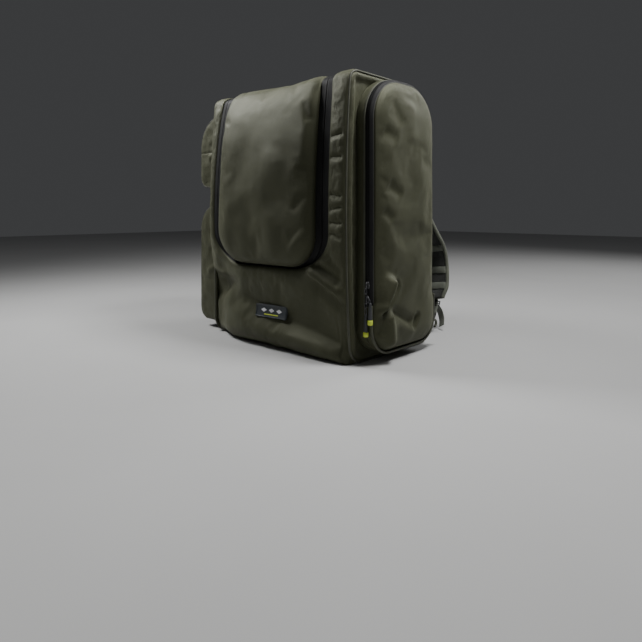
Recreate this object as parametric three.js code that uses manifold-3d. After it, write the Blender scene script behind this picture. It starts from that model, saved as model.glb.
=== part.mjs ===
// Tackle backpack: a boxy soft-sided rucksack with a U-shaped front lid, one tall pocket on its
// right side, two stacked pockets on its left side and a padded harness on its back.
// Millimetres. The front with the lid faces -Y, +X is the side with the tall pocket, +Z is up,
// and the origin is the centre of the base, on the surface that the pack stands on.

import * as THREE from 'three';
import { mergeVertices } from 'three/addons/utils/BufferGeometryUtils.js';
import Module from 'manifold-3d';

const wasm = await Module();
wasm.setup();

// ---- driving dimensions ----------------------------------------------------------------------

const WIDTH = 440;
const DEPTH = 265;
const HEIGHT = 575;
const WALL = 6; // padded fabric wall
const GAP = 0.3; // clearance between neighbouring pieces
const CORNER = { frontBottom: 35, backBottom: 25, backTop: 90, frontTop: 20 };

const LID = {
  side: 40, // from the pack's side to the outer edge of the zip tape
  bottom: 150, // outer edge of the tape above the ground
  radius: 104, // outer edge of the tape at the lower corners
  tape: 16, // width of each half of the zip
  puff: 42, // how far the padded lid stands proud
  shoulder: 45, // radius of the padding's upper corners
  hingeY: 45, // hinge line on the top
};

const TALL = {
  front: 21, // from the pack's front to the pocket
  back: 240,
  bottom: 20,
  top: 566,
  topRadius: 90,
  bottomRadius: 55,
  wall: 5,
  gusset: 19, // sewn-on strip of the gusset
  tape: 8,
  rise: 15, // height of the domed face above the zip
  spread: 30, // how far in from the edge the dome reaches its height
  hinge: 118, // the zip ends and the door folds here
};

const LEFT = { front: 20, length: 212, reach: 90, wall: 5, tape: 8, bottomRadius: 30 };
const LEFT_UPPER = { bottom: 360, top: 539, seam: 449, radius: 79 };
const LEFT_LOWER = { bottom: 21, top: 313, seam: 125, radius: 61 };

const SLIDER = { width: 8.6, length: 14, height: 4.6 };
const PULL = { tab: 2, grip: 33, gripRadius: 4.5, tip: 10, tipRadius: 5.4 };
const STRAP = { width: 68, thickness: 14, webbing: 25, webbingThickness: 2 };
const LABEL = { width: 90, height: 27, thickness: 1.6, x: 12, z: 81, rim: 3 };
const PIPING = 2.4; // radius

const STRAP_WING = { inner: 150, outer: 206, low: 6, high: 56, thickness: 3 };
const LADDER_LOCK = {
  half: [17, 6],
  slot: [13, 2.6],
  bar: 2,
  thickness: 4,
  turn: -0.5,
  place: [165.8, 257, 67.5],
};
const BACK_PAD = { inner: 30, outer: 170, low: 190, high: 436, thickness: 12, radius: 25 };
const LUMBAR_PAD = { half: 150, low: 70, high: 165, thickness: 16, radius: 30 };
const BOARD = { margin: 8, thickness: 3, sheet: 2.5 };

const SIDE = WIDTH / 2;
const FRONT = -DEPTH / 2;
const BACK = DEPTH / 2;

// ---- materials -------------------------------------------------------------------------------

function material(color, roughness, metalness = 0) {
  return new THREE.MeshStandardMaterial({ color, roughness, metalness });
}

const fabric = material(0x3b3c2f, 0.78);
const zipTape = material(0x1c1c1d, 0.7);
const binding = material(0x4b4c3f, 0.75);
const mesh3d = material(0x1b1c1a, 0.9);
const webbing = material(0x24251f, 0.8);
const moulded = material(0x151515, 0.45);
const steel = material(0x55565a, 0.35, 1);
const grip = material(0x303133, 0.6);
const lime = material(0xc3d33a, 0.5);
const rubber = material(0x23282d, 0.6);
const board = material(0x3a3a3a, 0.6);

// ---- solids ----------------------------------------------------------------------------------

function solid(geometry) {
  const bare = geometry.index ? geometry.toNonIndexed() : geometry.clone();
  bare.deleteAttribute('normal');
  bare.deleteAttribute('uv');
  const merged = mergeVertices(bare, 1e-4);
  return new wasm.Manifold(new wasm.Mesh({
    numProp: 3,
    vertProperties: new Float32Array(merged.attributes.position.array),
    triVerts: new Uint32Array(merged.index.array),
  }));
}

function join(first, ...others) {
  return others.reduce((whole, other) => whole.add(other), first);
}

function cut(first, ...others) {
  return others.reduce((whole, other) => whole.subtract(other), first);
}

function common(first, second) {
  return first.intersect(second);
}

function box(x0, x1, y0, y1, z0, z1) {
  const geometry = new THREE.BoxGeometry(x1 - x0, y1 - y0, z1 - z0);
  geometry.translate((x0 + x1) / 2, (y0 + y1) / 2, (z0 + z1) / 2);
  return solid(geometry);
}

// A turn of the axes: an outline's two directions and its depth, as directions of the pack.
const ALONG_X = new THREE.Matrix4().set(0, 0, 1, 0, 1, 0, 0, 0, 0, 1, 0, 0, 0, 0, 0, 1);
const ALONG_Y = new THREE.Matrix4().set(1, 0, 0, 0, 0, 0, -1, 0, 0, 1, 0, 0, 0, 0, 0, 1);

// An outline drawn in (y, z), with depth from x0 to x1.
function extrudeX(shape, x0, x1, curveSegments = 8) {
  const geometry = new THREE.ExtrudeGeometry(shape, { depth: x1 - x0, bevelEnabled: false, curveSegments });
  return solid(geometry.applyMatrix4(ALONG_X).translate(x0, 0, 0));
}

// An outline drawn in (x, z), with depth from y0 to y1.
function extrudeY(shape, y0, y1, curveSegments = 8) {
  const geometry = new THREE.ExtrudeGeometry(shape, { depth: y1 - y0, bevelEnabled: false, curveSegments });
  return solid(geometry.applyMatrix4(ALONG_Y).translate(0, y1, 0));
}

// A rectangle from (u0, v0) to (u1, v1) with a radius for each corner, anticlockwise from low.
function roundedShape(u0, v0, u1, v1, [lowLeft, lowRight, highRight, highLeft]) {
  const shape = new THREE.Shape();
  const corners = [
    [u1, v0, -1, 1, lowRight, -0.5],
    [u1, v1, -1, -1, highRight, 0],
    [u0, v1, 1, -1, highLeft, 0.5],
    [u0, v0, 1, 1, lowLeft, 1],
  ];
  corners.forEach(([u, v, inU, inV, radius, start], i) => {
    if (radius > 0.05) {
      const from = start * Math.PI;
      shape.absarc(u + inU * radius, v + inV * radius, radius, from, from + Math.PI / 2);
    } else if (i === 0) {
      shape.moveTo(u, v);
    } else {
      shape.lineTo(u, v);
    }
  });
  return shape;
}

// A flat band of the given width and thickness that follows a curve; its width lies along
// `side`, turned square to the curve.
function ribbon(curve, width, thickness, steps, side) {
  const geometry = new THREE.BoxGeometry(width, thickness, 1, 1, 1, steps);
  const place = geometry.attributes.position;
  for (let i = 0; i < place.count; i += 1) {
    const t = place.getZ(i) + 0.5;
    const along = curve.getTangentAt(t);
    const out = new THREE.Vector3().crossVectors(along, side).normalize();
    const across = new THREE.Vector3().crossVectors(out, along);
    const point = curve.getPointAt(t);
    point.addScaledVector(across, place.getX(i)).addScaledVector(out, place.getY(i));
    place.setXYZ(i, point.x, point.y, point.z);
  }
  return solid(geometry);
}

const group = new THREE.Group();

function add(name, shape, look) {
  const { vertProperties, triVerts } = shape.getMesh();
  const geometry = new THREE.BufferGeometry();
  geometry.setAttribute('position', new THREE.BufferAttribute(new Float32Array(vertProperties), 3));
  geometry.setIndex(new THREE.BufferAttribute(new Uint32Array(triVerts), 1));
  geometry.computeVertexNormals();
  const piece = new THREE.Mesh(geometry, look);
  piece.name = name;
  group.add(piece);
}

// ---- main compartment ------------------------------------------------------------------------

function bodyOutline(inset) {
  const { frontBottom, backBottom, backTop, frontTop } = CORNER;
  const radii = [frontBottom, backBottom, backTop, frontTop].map((r) => r - inset);
  return roundedShape(FRONT + inset, inset, BACK - inset, HEIGHT - inset, radii);
}

// The wall that runs round the pack between its two side panels, `outer` to `inner` deep.
function bodyWall(outer, inner) {
  const reach = SIDE - WALL - GAP;
  return cut(extrudeX(bodyOutline(outer), -reach, reach), extrudeX(bodyOutline(inner), -SIDE, SIDE));
}

// The U of the front lid seen from the front, `inset` inside the tape's outer edge; it runs over
// the front and back along the top to the hinge.
function lidPrism(inset, rear = LID.hingeY) {
  const half = SIDE - LID.side - inset;
  const radius = LID.radius - inset;
  const shape = roundedShape(-half, LID.bottom + inset, half, HEIGHT + 50, [radius, radius, 0, 0]);
  return extrudeY(shape, FRONT - 80, rear, 12);
}

function buildBody() {
  const wall = cut(bodyWall(0, WALL), lidPrism(-GAP, LID.hingeY + GAP));
  const toe = CORNER.frontBottom;
  const topFront = CORNER.frontTop + FRONT;
  const heel = BACK - CORNER.backBottom;
  const shoulder = HEIGHT - CORNER.backTop;
  const strip = LID.bottom + LID.radius;
  const far = SIDE + 1;
  const frontBox = box(-far, far, FRONT - 1, FRONT + WALL + 1, toe + GAP, strip);
  const stripBox = (x0, x1) => box(x0, x1, FRONT - 1, topFront, strip + GAP, HEIGHT + 1);
  const toeBox = box(-far, far, FRONT - 1, 0, -1, toe);
  const rear = box(-far, far, heel + GAP, BACK + 1, -1, HEIGHT + 1);
  const rearTop = box(-far, far, LID.hingeY + 20, BACK + 1, shoulder - 100, HEIGHT + 1);
  add('front_panel', common(wall, frontBox), fabric);
  add('front_strip_left', common(wall, stripBox(-far, 0)), fabric);
  add('front_strip_right', common(wall, stripBox(0, far)), fabric);
  add('base_panel', common(wall, join(toeBox, box(-far, far, -1, heel, -1, WALL + 1))), fabric);
  add('back_panel', common(wall, join(rear, rearTop)), fabric);
  const topBox = box(-far, far, topFront + GAP, LID.hingeY + 20 - GAP, HEIGHT - 60, HEIGHT + 1);
  add('top_panel', common(wall, topBox), fabric);
  add('right_side_panel', extrudeX(bodyOutline(0), SIDE - WALL, SIDE), fabric);
  add('left_side_panel', extrudeX(bodyOutline(0), -SIDE, -SIDE + WALL), fabric);
  const lining = SIDE - WALL - BOARD.margin;
  const boardTop = WALL + GAP + BOARD.thickness;
  add('base_board', box(-lining, lining, FRONT + toe + 4, heel - 4, WALL + GAP, boardTop), board);
  const sheetShape = roundedShape(-lining, boardTop + 20, lining, shoulder - 10, [20, 20, 40, 40]);
  const sheetBack = BACK - WALL - GAP;
  add('back_frame_sheet', extrudeY(sheetShape, sheetBack - BOARD.sheet, sheetBack, 4), board);
}

function buildPiping() {
  for (const [name, sign] of [['right_side_piping', 1], ['left_side_piping', -1]]) {
    const x0 = sign > 0 ? SIDE + GAP : -SIDE - GAP - PIPING * 2;
    const ring = extrudeX(bodyOutline(0.5), x0, x0 + PIPING * 2);
    add(name, cut(ring, extrudeX(bodyOutline(0.5 + PIPING * 2), -SIDE - 20, SIDE + 20)), binding);
  }
}

// ---- front lid -------------------------------------------------------------------------------

// A domed panel on an outline drawn in (u, v): flat rim, then rounded up by `rise`.
function dome(shape, rim, rise, spread, turn, shift) {
  const geometry = new THREE.ExtrudeGeometry(shape, {
    depth: rim,
    bevelThickness: rise,
    bevelSize: spread,
    bevelOffset: -spread,
    bevelSegments: 3,
    curveSegments: 10,
  });
  return solid(geometry.applyMatrix4(turn).translate(...shift));
}

function buildLid() {
  const tape = bodyWall(0, WALL - 2);
  const outerHalf = cut(lidPrism(0), lidPrism(LID.tape));
  const innerHalf = cut(lidPrism(LID.tape + GAP), lidPrism(LID.tape * 2));
  const inset = LID.tape * 2 + GAP;
  add('lid_zip_outer_half', common(tape, outerHalf), zipTape);
  add('lid_zip_inner_half', common(tape, innerHalf), zipTape);

  const half = SIDE - LID.side - inset;
  const radius = LID.radius - inset;
  const low = LID.bottom + inset;
  const high = HEIGHT - CORNER.frontTop - 4;
  const { shoulder, puff } = LID;
  const outer = roundedShape(-half, low, half, high, [radius, radius, shoulder, shoulder]);
  const bulge = dome(outer, 4, puff, shoulder - 3, ALONG_Y, [0, FRONT + 4, 0]);
  const front = common(bulge, box(-SIDE, SIDE, FRONT - 80, FRONT + WALL, 0, HEIGHT));
  const thin = WALL * 2;
  const radii = [radius - thin, radius - thin, shoulder, shoulder];
  const innerShape = roundedShape(-half + thin, low + thin, half - thin, high - thin, radii);
  const hollow = dome(innerShape, 20, puff, shoulder - 3, ALONG_Y, [0, FRONT + 20 + WALL, 0]);
  const core = common(bodyWall(0, WALL), lidPrism(inset));
  add('front_lid', cut(join(core, front), hollow), fabric);
}

function buildLabel() {
  const y = FRONT - GAP;
  const { width, height, thickness, x, z, rim } = LABEL;
  const outline = (inset) => {
    const [u, v] = [width / 2 - inset, height / 2 - inset];
    return roundedShape(x - u, z - v, x + u, z + v, [rim, rim, rim, rim]);
  };
  const plate = outline(0);
  const middle = outline(rim);
  const recess = extrudeY(middle, y - thickness - 1, y - thickness + 0.6, 3);
  add('label_patch', cut(extrudeY(plate, y - thickness, y, 3), recess), rubber);
}

// ---- zip sliders and pulls -------------------------------------------------------------------

// A slider on the plane z = 0 that runs along Y, with a bridge on its top for the pull.
function sliderSolid() {
  const { width, length, height } = SLIDER;
  const nose = new THREE.Shape();
  nose.moveTo(-width / 2 + 1.5, -length / 2);
  nose.lineTo(width / 2 - 1.5, -length / 2);
  nose.lineTo(width / 2, 0);
  nose.lineTo(width / 2, length / 2);
  nose.lineTo(-width / 2, length / 2);
  nose.lineTo(-width / 2, 0);
  nose.closePath();
  const plate = solid(new THREE.ExtrudeGeometry(nose, { depth: height * 0.55, bevelEnabled: false }));
  const bridge = box(-1.4, 1.4, -length / 2 + 2, length / 2 - 2, height * 0.5, height);
  return join(plate, bridge);
}

// A pull that hangs down from its pivot at the origin: flat tab, then a round grip. The tab
// steps aside by `aside` on its way down.
function pullSolid(tabLength, aside) {
  const { tab, grip: gripLength, gripRadius } = PULL;
  const step = Math.abs(aside) * 1.2;
  const shape = new THREE.Shape();
  shape.moveTo(-tab, 0);
  shape.lineTo(tab, 0);
  shape.lineTo(aside + tab, -step - 1);
  shape.lineTo(aside + tab, -tabLength - 2);
  shape.lineTo(aside - tab, -tabLength - 2);
  shape.lineTo(aside - tab, -step - 1);
  shape.closePath();
  const flat = extrudeY(shape, -0.9, 0.9);
  const rod = new THREE.CylinderGeometry(gripRadius, gripRadius, gripLength, 12);
  rod.rotateX(Math.PI / 2).translate(aside, 0, -tabLength - gripLength / 2);
  return join(flat, solid(rod));
}

function tipSolid(tabLength, aside) {
  const { grip: gripLength, tip, tipRadius } = PULL;
  const cap = new THREE.CylinderGeometry(tipRadius, tipRadius, tip, 12);
  cap.rotateX(Math.PI / 2).translate(aside, 0, -tabLength - gripLength - GAP - tip / 2);
  return solid(cap);
}

// Turns a solid made in its own frame and moves it to its place.
function place(shape, turn, at) {
  return shape.transform(new THREE.Matrix4().makeRotationFromEuler(turn).setPosition(...at).toArray());
}

const FLAT_ON_FRONT = new THREE.Euler(Math.PI / 2, 0, 0); // on a face towards -Y, running along Z
const FLAT_ON_LEFT = new THREE.Euler(Math.PI / 2, 0, -Math.PI / 2, 'ZYX'); // on a face towards -X
const HANGING = new THREE.Euler(0, 0, 0);
const TO_THE_FRONT = new THREE.Euler(-Math.PI / 2, 0, 0);
const TO_THE_BACK = new THREE.Euler(Math.PI / 2, 0, 0);

const LID_SLIDERS = { front: 4, rear: 30 }; // places along Y, on the top
const lidSliderX = SIDE - LID.side - LID.tape + 1.5 + SLIDER.width / 2;

function buildLidSliders() {
  const z = HEIGHT + GAP;
  const pullZ = z + PULL.gripRadius + 1.2;
  const turns = { front: TO_THE_FRONT, rear: TO_THE_BACK };
  for (const [which, y] of Object.entries(LID_SLIDERS)) {
    const away = which === 'front' ? -1 : 1;
    const pivot = [lidSliderX, y + away * (SLIDER.length / 2 + 0.6), pullZ];
    add(`lid_slider_${which}`, place(sliderSolid(), HANGING, [lidSliderX, y, z]), steel);
    add(`lid_pull_${which}`, place(pullSolid(18, 0), turns[which], pivot), grip);
    add(`lid_pull_tip_${which}`, place(tipSolid(18, 0), turns[which], pivot), lime);
  }
}

// ---- tall pocket on the right side -----------------------------------------------------------

const TALL_Y0 = FRONT + TALL.front;
const TALL_Y1 = FRONT + TALL.back;

function tallShape(inset) {
  const { bottom, top, topRadius, bottomRadius } = TALL;
  const low = bottomRadius - inset;
  const high = topRadius - inset;
  return roundedShape(TALL_Y0 + inset, bottom + inset, TALL_Y1 - inset, top - inset, [low, low, high, high]);
}

function tallRing(x0, x1) {
  const hole = extrudeX(tallShape(TALL.wall), x0 - 1, x1 + 1, 12);
  return cut(extrudeX(tallShape(0), x0, x1, 12), hole);
}

const above = (z) => box(-600, 600, -600, 600, z, 900);
const below = (z) => box(-600, 600, -600, 600, -100, z);

function buildTallPocket() {
  const { gusset, tape, rise, spread, wall, hinge } = TALL;
  const x0 = SIDE + GAP;
  const zipStart = SIDE + gusset;
  const seam = zipStart + tape;
  const rim = seam + tape;
  const foot = common(tallRing(x0, rim), below(hinge - GAP));
  add('tall_pocket_gusset', join(tallRing(x0, zipStart), foot), fabric);
  add('tall_zip_outer_half', common(tallRing(zipStart + GAP, seam), above(hinge)), zipTape);
  add('tall_zip_inner_half', common(tallRing(seam + GAP, rim), above(hinge)), zipTape);
  const flat = 0.5; // straight edge of the dome, before it rounds over
  const deep = 12; // how far the hollow reaches down into the gusset
  const outer = dome(tallShape(0), flat, rise, spread, ALONG_X, [rim + GAP, 0, 0]);
  const half = common(outer, box(rim + GAP, rim + rise * 3, -300, 300, 0, 700));
  const hollow = dome(tallShape(wall), deep, rise, spread, ALONG_X, [rim - deep - wall, 0, 0]);
  const shell = cut(half, hollow);
  add('tall_pocket_door', common(shell, above(hinge)), fabric);
  add('tall_pocket_lower_face', common(shell, below(hinge - GAP)), fabric);
}

const TALL_SLIDERS = { upper: 156, lower: 128 }; // heights above the ground
const tallSliderX = SIDE + TALL.gusset + TALL.tape;

function buildTallSliders() {
  const y = TALL_Y0 - GAP;
  const pullY = y - PULL.gripRadius - 1.2;
  const hang = { upper: { tab: 25, aside: 10.5 }, lower: { tab: 21, aside: 0 } };
  for (const [which, z] of Object.entries(TALL_SLIDERS)) {
    const { tab, aside } = hang[which];
    const pivot = [tallSliderX, pullY, z - SLIDER.length / 2 - 0.4];
    add(`tall_slider_${which}`, place(sliderSolid(), FLAT_ON_FRONT, [tallSliderX, y, z]), steel);
    add(`tall_pull_${which}`, place(pullSolid(tab, aside), HANGING, pivot), grip);
    add(`tall_pull_tip_${which}`, place(tipSolid(tab, aside), HANGING, pivot), lime);
  }
}

// ---- stacked pockets on the left side --------------------------------------------------------

const LEFT_Y0 = FRONT + LEFT.front;
const LEFT_Y1 = LEFT_Y0 + LEFT.length;
const LEFT_X = -SIDE - LEFT.reach;

// A pocket's end outline in (x, z): square against the pack, rounded outside.
function leftShape({ bottom, top, radius }, inset, inner = -SIDE - GAP) {
  const radii = [LEFT.bottomRadius - inset, 0, 0, radius - inset];
  return roundedShape(LEFT_X + inset, bottom + inset, inner, top - inset, radii);
}

function buildLeftPocket(name, pocket) {
  const { wall, tape } = LEFT;
  const { seam } = pocket;
  const strip = cut(
    extrudeY(leftShape(pocket, 0), LEFT_Y0, LEFT_Y1, 10),
    extrudeY(leftShape(pocket, wall, -SIDE + 1), LEFT_Y0 - 1, LEFT_Y1 + 1, 10),
  );
  const arch = common(strip, above(seam));
  // the opening in the arch, `inset` inside its edges, away from the pack's side
  const mouth = (inset) => box(-600, -SIDE - GAP - inset, LEFT_Y0 + inset, LEFT_Y1 - inset, 0, 900);
  const solidEnd = extrudeY(leftShape(pocket, wall + GAP), LEFT_Y0, LEFT_Y1, 10);
  const inside = box(LEFT_X, -SIDE + 1, LEFT_Y0 + wall, LEFT_Y1 - wall, 0, 900);
  const ends = cut(solidEnd, inside);
  const tub = cut(
    common(extrudeY(leftShape(pocket, 0), LEFT_Y0, LEFT_Y1, 10), below(seam - GAP)),
    common(extrudeY(leftShape(pocket, wall, -SIDE + 1), LEFT_Y0 + wall, LEFT_Y1 - wall, 10), above(0)),
  );
  add(`${name}_shell`, join(tub, ends), fabric);
  add(`${name}_zip_outer_half`, cut(arch, mouth(tape)), zipTape);
  add(`${name}_zip_inner_half`, cut(common(arch, mouth(tape + GAP)), mouth(tape * 2)), zipTape);
  add(`${name}_door`, common(arch, mouth(tape * 2 + GAP)), fabric);
}

function buildLeftSlider(name, z) {
  const x = LEFT_X - GAP;
  const y = LEFT_Y1 - LEFT.tape + SLIDER.width / 2 + 1.4;
  const pivot = [x - PULL.gripRadius - 1.2, y, z - SLIDER.length / 2 - 0.4];
  add(`${name}_slider`, place(sliderSolid(), FLAT_ON_LEFT, [x, y, z]), steel);
  add(`${name}_pull`, join(
    place(pullSolid(16, 0), new THREE.Euler(0, 0, Math.PI / 2), pivot),
    place(tipSolid(16 - GAP - 0.1, 0), new THREE.Euler(0, 0, 0), pivot),
  ), grip);
}

// ---- harness ---------------------------------------------------------------------------------

// The right strap's middle line, from its seam at the top of the back to its lower end.
const STRAP_ROUTE = [
  [84, 141, 500],
  [96, 156, 455],
  [112, 182, 390],
  [130, 208, 320],
  [144, 243, 252],
  [152, 273, 205],
  [156, 281, 160],
  [160, 276, 115],
  [165, 262, 78],
];
const WEB_ROUTE = [
  [167, 252, 58],
  [172, 232, 36],
  [178, 204, 18],
  [184, 172, 10],
  [189, 140, 12],
];

function mirrored(points, sign) {
  return new THREE.CatmullRomCurve3(points.map(([x, y, z]) => new THREE.Vector3(x * sign, y, z)));
}

// A buckle plate with a slot on each side of its middle bar.
function ladderLock() {
  const { half: [u, v], slot: [reach, height], bar, thickness } = LADDER_LOCK;
  const shape = roundedShape(-u, -v, u, v, [2, 2, 2, 2]);
  for (const low of [bar / 2, -bar / 2 - height]) {
    shape.holes.push(roundedShape(-reach, low, reach, low + height, [0.5, 0.5, 0.5, 0.5]));
  }
  return extrudeY(shape, -thickness / 2, thickness / 2, 2);
}

// The triangle of fabric that holds the lower end of the webbing.
function strapWing() {
  const { inner, outer, low, high, thickness } = STRAP_WING;
  const shape = new THREE.Shape();
  shape.moveTo(inner, low);
  shape.lineTo(outer, low);
  shape.lineTo(outer, high);
  shape.closePath();
  return extrudeY(shape, BACK + GAP, BACK + GAP + thickness);
}

function buildHarness() {
  const across = new THREE.Vector3(1, 0, 0);
  const { width, thickness, webbing: webWidth, webbingThickness } = STRAP;
  const [lockX, lockY, lockZ] = LADDER_LOCK.place;
  const turn = new THREE.Euler(LADDER_LOCK.turn, 0, 0);
  for (const [side, sign] of [['right', 1], ['left', -1]]) {
    const strap = ribbon(mirrored(STRAP_ROUTE, sign), width, thickness, 28, across);
    const web = ribbon(mirrored(WEB_ROUTE, sign), webWidth, webbingThickness, 12, across);
    const wing = strapWing();
    add(`shoulder_strap_${side}`, strap, fabric);
    add(`lower_webbing_${side}`, web, webbing);
    add(`ladder_lock_${side}`, place(ladderLock(), turn, [lockX * sign, lockY, lockZ]), moulded);
    add(`strap_anchor_${side}`, sign > 0 ? wing : wing.mirror([1, 0, 0]), fabric);
  }
}

function backPad(x0, x1, { low, high, thickness, radius }) {
  const shape = roundedShape(x0, low, x1, high, [radius, radius, radius, radius]);
  return extrudeY(shape, BACK + GAP, BACK + GAP + thickness, 4);
}

function buildBack() {
  const { inner, outer } = BACK_PAD;
  add('back_pad_left', backPad(-outer, -inner, BACK_PAD), mesh3d);
  add('back_pad_right', backPad(inner, outer, BACK_PAD), mesh3d);
  add('lumbar_pad', backPad(-LUMBAR_PAD.half, LUMBAR_PAD.half, LUMBAR_PAD), mesh3d);
}

const HANDLE = { half: 38, y: 136, z: 532, drop: 50, lean: 20 };

// A webbing loop that hangs from the seam at the top of the back.
function buildHandle() {
  const { half, y, z, drop, lean } = HANDLE;
  const steps = [[-1, 0], [-1, 0.45], [-0.7, 0.88], [0, 1], [0.7, 0.88], [1, 0.45], [1, 0]];
  const route = steps.map(([u, v]) => new THREE.Vector3(half * u, y + lean * v, z - drop * v));
  const curve = new THREE.CatmullRomCurve3(route);
  const side = new THREE.Vector3(0, drop, lean).normalize();
  add('haul_handle', ribbon(curve, STRAP.webbing, 3, 24, side), webbing);
}

buildBody();
buildPiping();
buildLid();
buildLabel();
buildLidSliders();
buildTallPocket();
buildTallSliders();
buildLeftPocket('left_upper_pocket', LEFT_UPPER);
buildLeftPocket('left_lower_pocket', LEFT_LOWER);
buildLeftSlider('left_upper_pocket', LEFT_UPPER.top - LEFT_UPPER.radius + 8);
buildLeftSlider('left_lower_pocket', LEFT_LOWER.seam + 12);
buildHarness();
buildBack();
buildHandle();

export default group;
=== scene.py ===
import math

import bpy
import numpy as np
from mathutils import Matrix, Vector, noise


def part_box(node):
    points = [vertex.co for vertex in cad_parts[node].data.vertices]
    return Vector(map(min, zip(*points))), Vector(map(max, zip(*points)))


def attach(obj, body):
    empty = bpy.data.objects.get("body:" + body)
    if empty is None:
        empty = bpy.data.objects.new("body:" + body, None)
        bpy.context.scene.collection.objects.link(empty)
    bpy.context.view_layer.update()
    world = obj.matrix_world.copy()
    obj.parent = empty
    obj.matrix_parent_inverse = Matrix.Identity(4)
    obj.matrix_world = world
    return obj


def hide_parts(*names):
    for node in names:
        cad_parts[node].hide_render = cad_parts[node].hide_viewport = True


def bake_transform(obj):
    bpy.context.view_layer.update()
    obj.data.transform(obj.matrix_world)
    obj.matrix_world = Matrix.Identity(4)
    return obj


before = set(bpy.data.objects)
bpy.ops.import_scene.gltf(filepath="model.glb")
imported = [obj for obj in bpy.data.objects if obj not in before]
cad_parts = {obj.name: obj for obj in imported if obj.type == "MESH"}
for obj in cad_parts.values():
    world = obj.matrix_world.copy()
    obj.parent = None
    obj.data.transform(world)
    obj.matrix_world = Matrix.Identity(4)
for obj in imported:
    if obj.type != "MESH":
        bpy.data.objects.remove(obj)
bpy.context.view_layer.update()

MM = 0.001
SIDES = ("right", 1), ("left", -1)

# ---- sizes, in millimetres, from the frame -------------------------------------------------------


def node_box(node):
    low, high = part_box(node)
    return np.array(low) / MM, np.array(high) / MM


side_low, side_high = node_box("right_side_panel")
SIDE, FRONT, BACK, TOP = side_high[0], side_low[1], side_high[1], side_high[2]
LID_OUT = node_box("lid_zip_outer_half")
HINGE_Y = LID_OUT[1][1]
TALL = node_box("tall_pocket_gusset")
TALL_FACE = node_box("tall_pocket_door")
TALL_SEAM = node_box("tall_zip_outer_half")[1][0]
TALL_HINGE = TALL_FACE[0][2]
LABEL = node_box("label_patch")

# ---- camera --------------------------------------------------------------------------------------

VIEW_AZIMUTH = math.radians(43.6)
CORNER_DEPTH = 1.044  # from the lens to the nearest vertical edge of the pack
CORNER_RIGHT = 0.056  # how far that edge is right of the lens axis
LENS_HEIGHT = 0.300


def make_camera():
    data = bpy.data.cameras.new("camera")
    data.lens = 30.3
    data.sensor_width = 36
    data.shift_y = -0.172
    data.clip_end = 50
    forward = Vector((-math.sin(VIEW_AZIMUTH), math.cos(VIEW_AZIMUTH), 0))
    right = Vector((math.cos(VIEW_AZIMUTH), math.sin(VIEW_AZIMUTH), 0))
    corner = Vector((SIDE * MM, FRONT * MM, LENS_HEIGHT))
    camera = bpy.data.objects.new("camera", data)
    camera.location = corner - forward * CORNER_DEPTH - right * CORNER_RIGHT
    camera.rotation_euler = (math.pi / 2, 0, VIEW_AZIMUTH)
    bpy.context.scene.collection.objects.link(camera)
    bpy.context.scene.camera = camera


make_camera()

# ---- small mathematics ---------------------------------------------------------------------------


def smooth(t):
    t = np.clip(t, 0, 1)
    return t * t * (3 - 2 * t)


def bump(t):
    """A bell from 0 at -1 and 1 to 1 at 0."""
    return smooth(1 - np.abs(t))


def bell(t):
    return np.exp(-(t**2))


def crown(edge, rise, reach):
    """A padded panel's height: it rises from the seam over about `reach` mm."""
    return rise * (1 - np.exp(-edge / reach))


def stack(*parts):
    return np.stack(np.broadcast_arrays(*parts), axis=-1)


def run_length(path):
    """The distance along a path at each of its points."""
    return np.concatenate([[0], np.cumsum(np.linalg.norm(np.diff(path, axis=0), axis=1))])


def interpolated(at, stations, values):
    """Rows of values that are known at the stations, read at other places."""
    return np.stack([np.interp(at, stations, column) for column in np.transpose(values)], 1)


def crumple(points, size, depth, seed=0.0, octaves=3):
    """A wavy height in mm for points in mm: hills about `size` apart, up to about `depth` high."""
    flat = points.reshape(-1, 3) / size
    offset = Vector((seed, seed * 1.7, -seed))
    values = [noise.fractal(Vector(p) + offset, 0.7, 2.1, octaves) for p in flat]
    return np.array(values).reshape(points.shape[:-1]) * depth


class Outline:
    """A rounded rectangle, walked clockwise from the left end of its straight bottom edge."""

    def __init__(self, u0, v0, u1, v1, low_left, high_left, high_right, low_right, step=1.0):
        corners = [
            (u0 + low_left, v0 + low_left, low_left, 270),
            (u0 + high_left, v1 - high_left, high_left, 180),
            (u1 - high_right, v1 - high_right, high_right, 90),
            (u1 - low_right, v0 + low_right, low_right, 0),
        ]
        rows, self.ends = [], []
        for cu, cv, radius, start in corners:
            count = max(4, int(radius * math.pi / 2 / step))
            for k in range(count + 1):
                a = math.radians(start - 90 * k / count)
                rows.append((cu + radius * math.cos(a), cv + radius * math.sin(a), math.cos(a), math.sin(a)))
            self.ends += [len(rows) - count - 1, len(rows) - 1]
        rows.append(rows[0])
        self.rows = np.array(rows)
        self.q = run_length(self.rows[:, :2])
        self.length = self.q[-1]
        self.ends = [self.q[i] for i in self.ends]

    def at(self, q):
        q = np.mod(q, self.length)
        u, v, nu, nv = (np.interp(q, self.q, self.rows[:, i]) for i in range(4))
        size = np.hypot(nu, nv)
        return u, v, nu / size, nv / size


# ---- the pack's settled shape --------------------------------------------------------------------

FOOT_RADIUS, BROW_RADIUS, BACK_RADIUS, HEEL_RADIUS = 35, 20, 90, 25
BODY = Outline(FRONT, 0, BACK, TOP, FOOT_RADIUS, BROW_RADIUS, BACK_RADIUS, HEEL_RADIUS)


def front_q(z):
    return BODY.ends[1] + z - FOOT_RADIUS


def top_q(y):
    return BODY.ends[3] + y - FRONT - BROW_RADIUS


def back_q(z):
    return BODY.ends[5] + TOP - BACK_RADIUS - z


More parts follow.
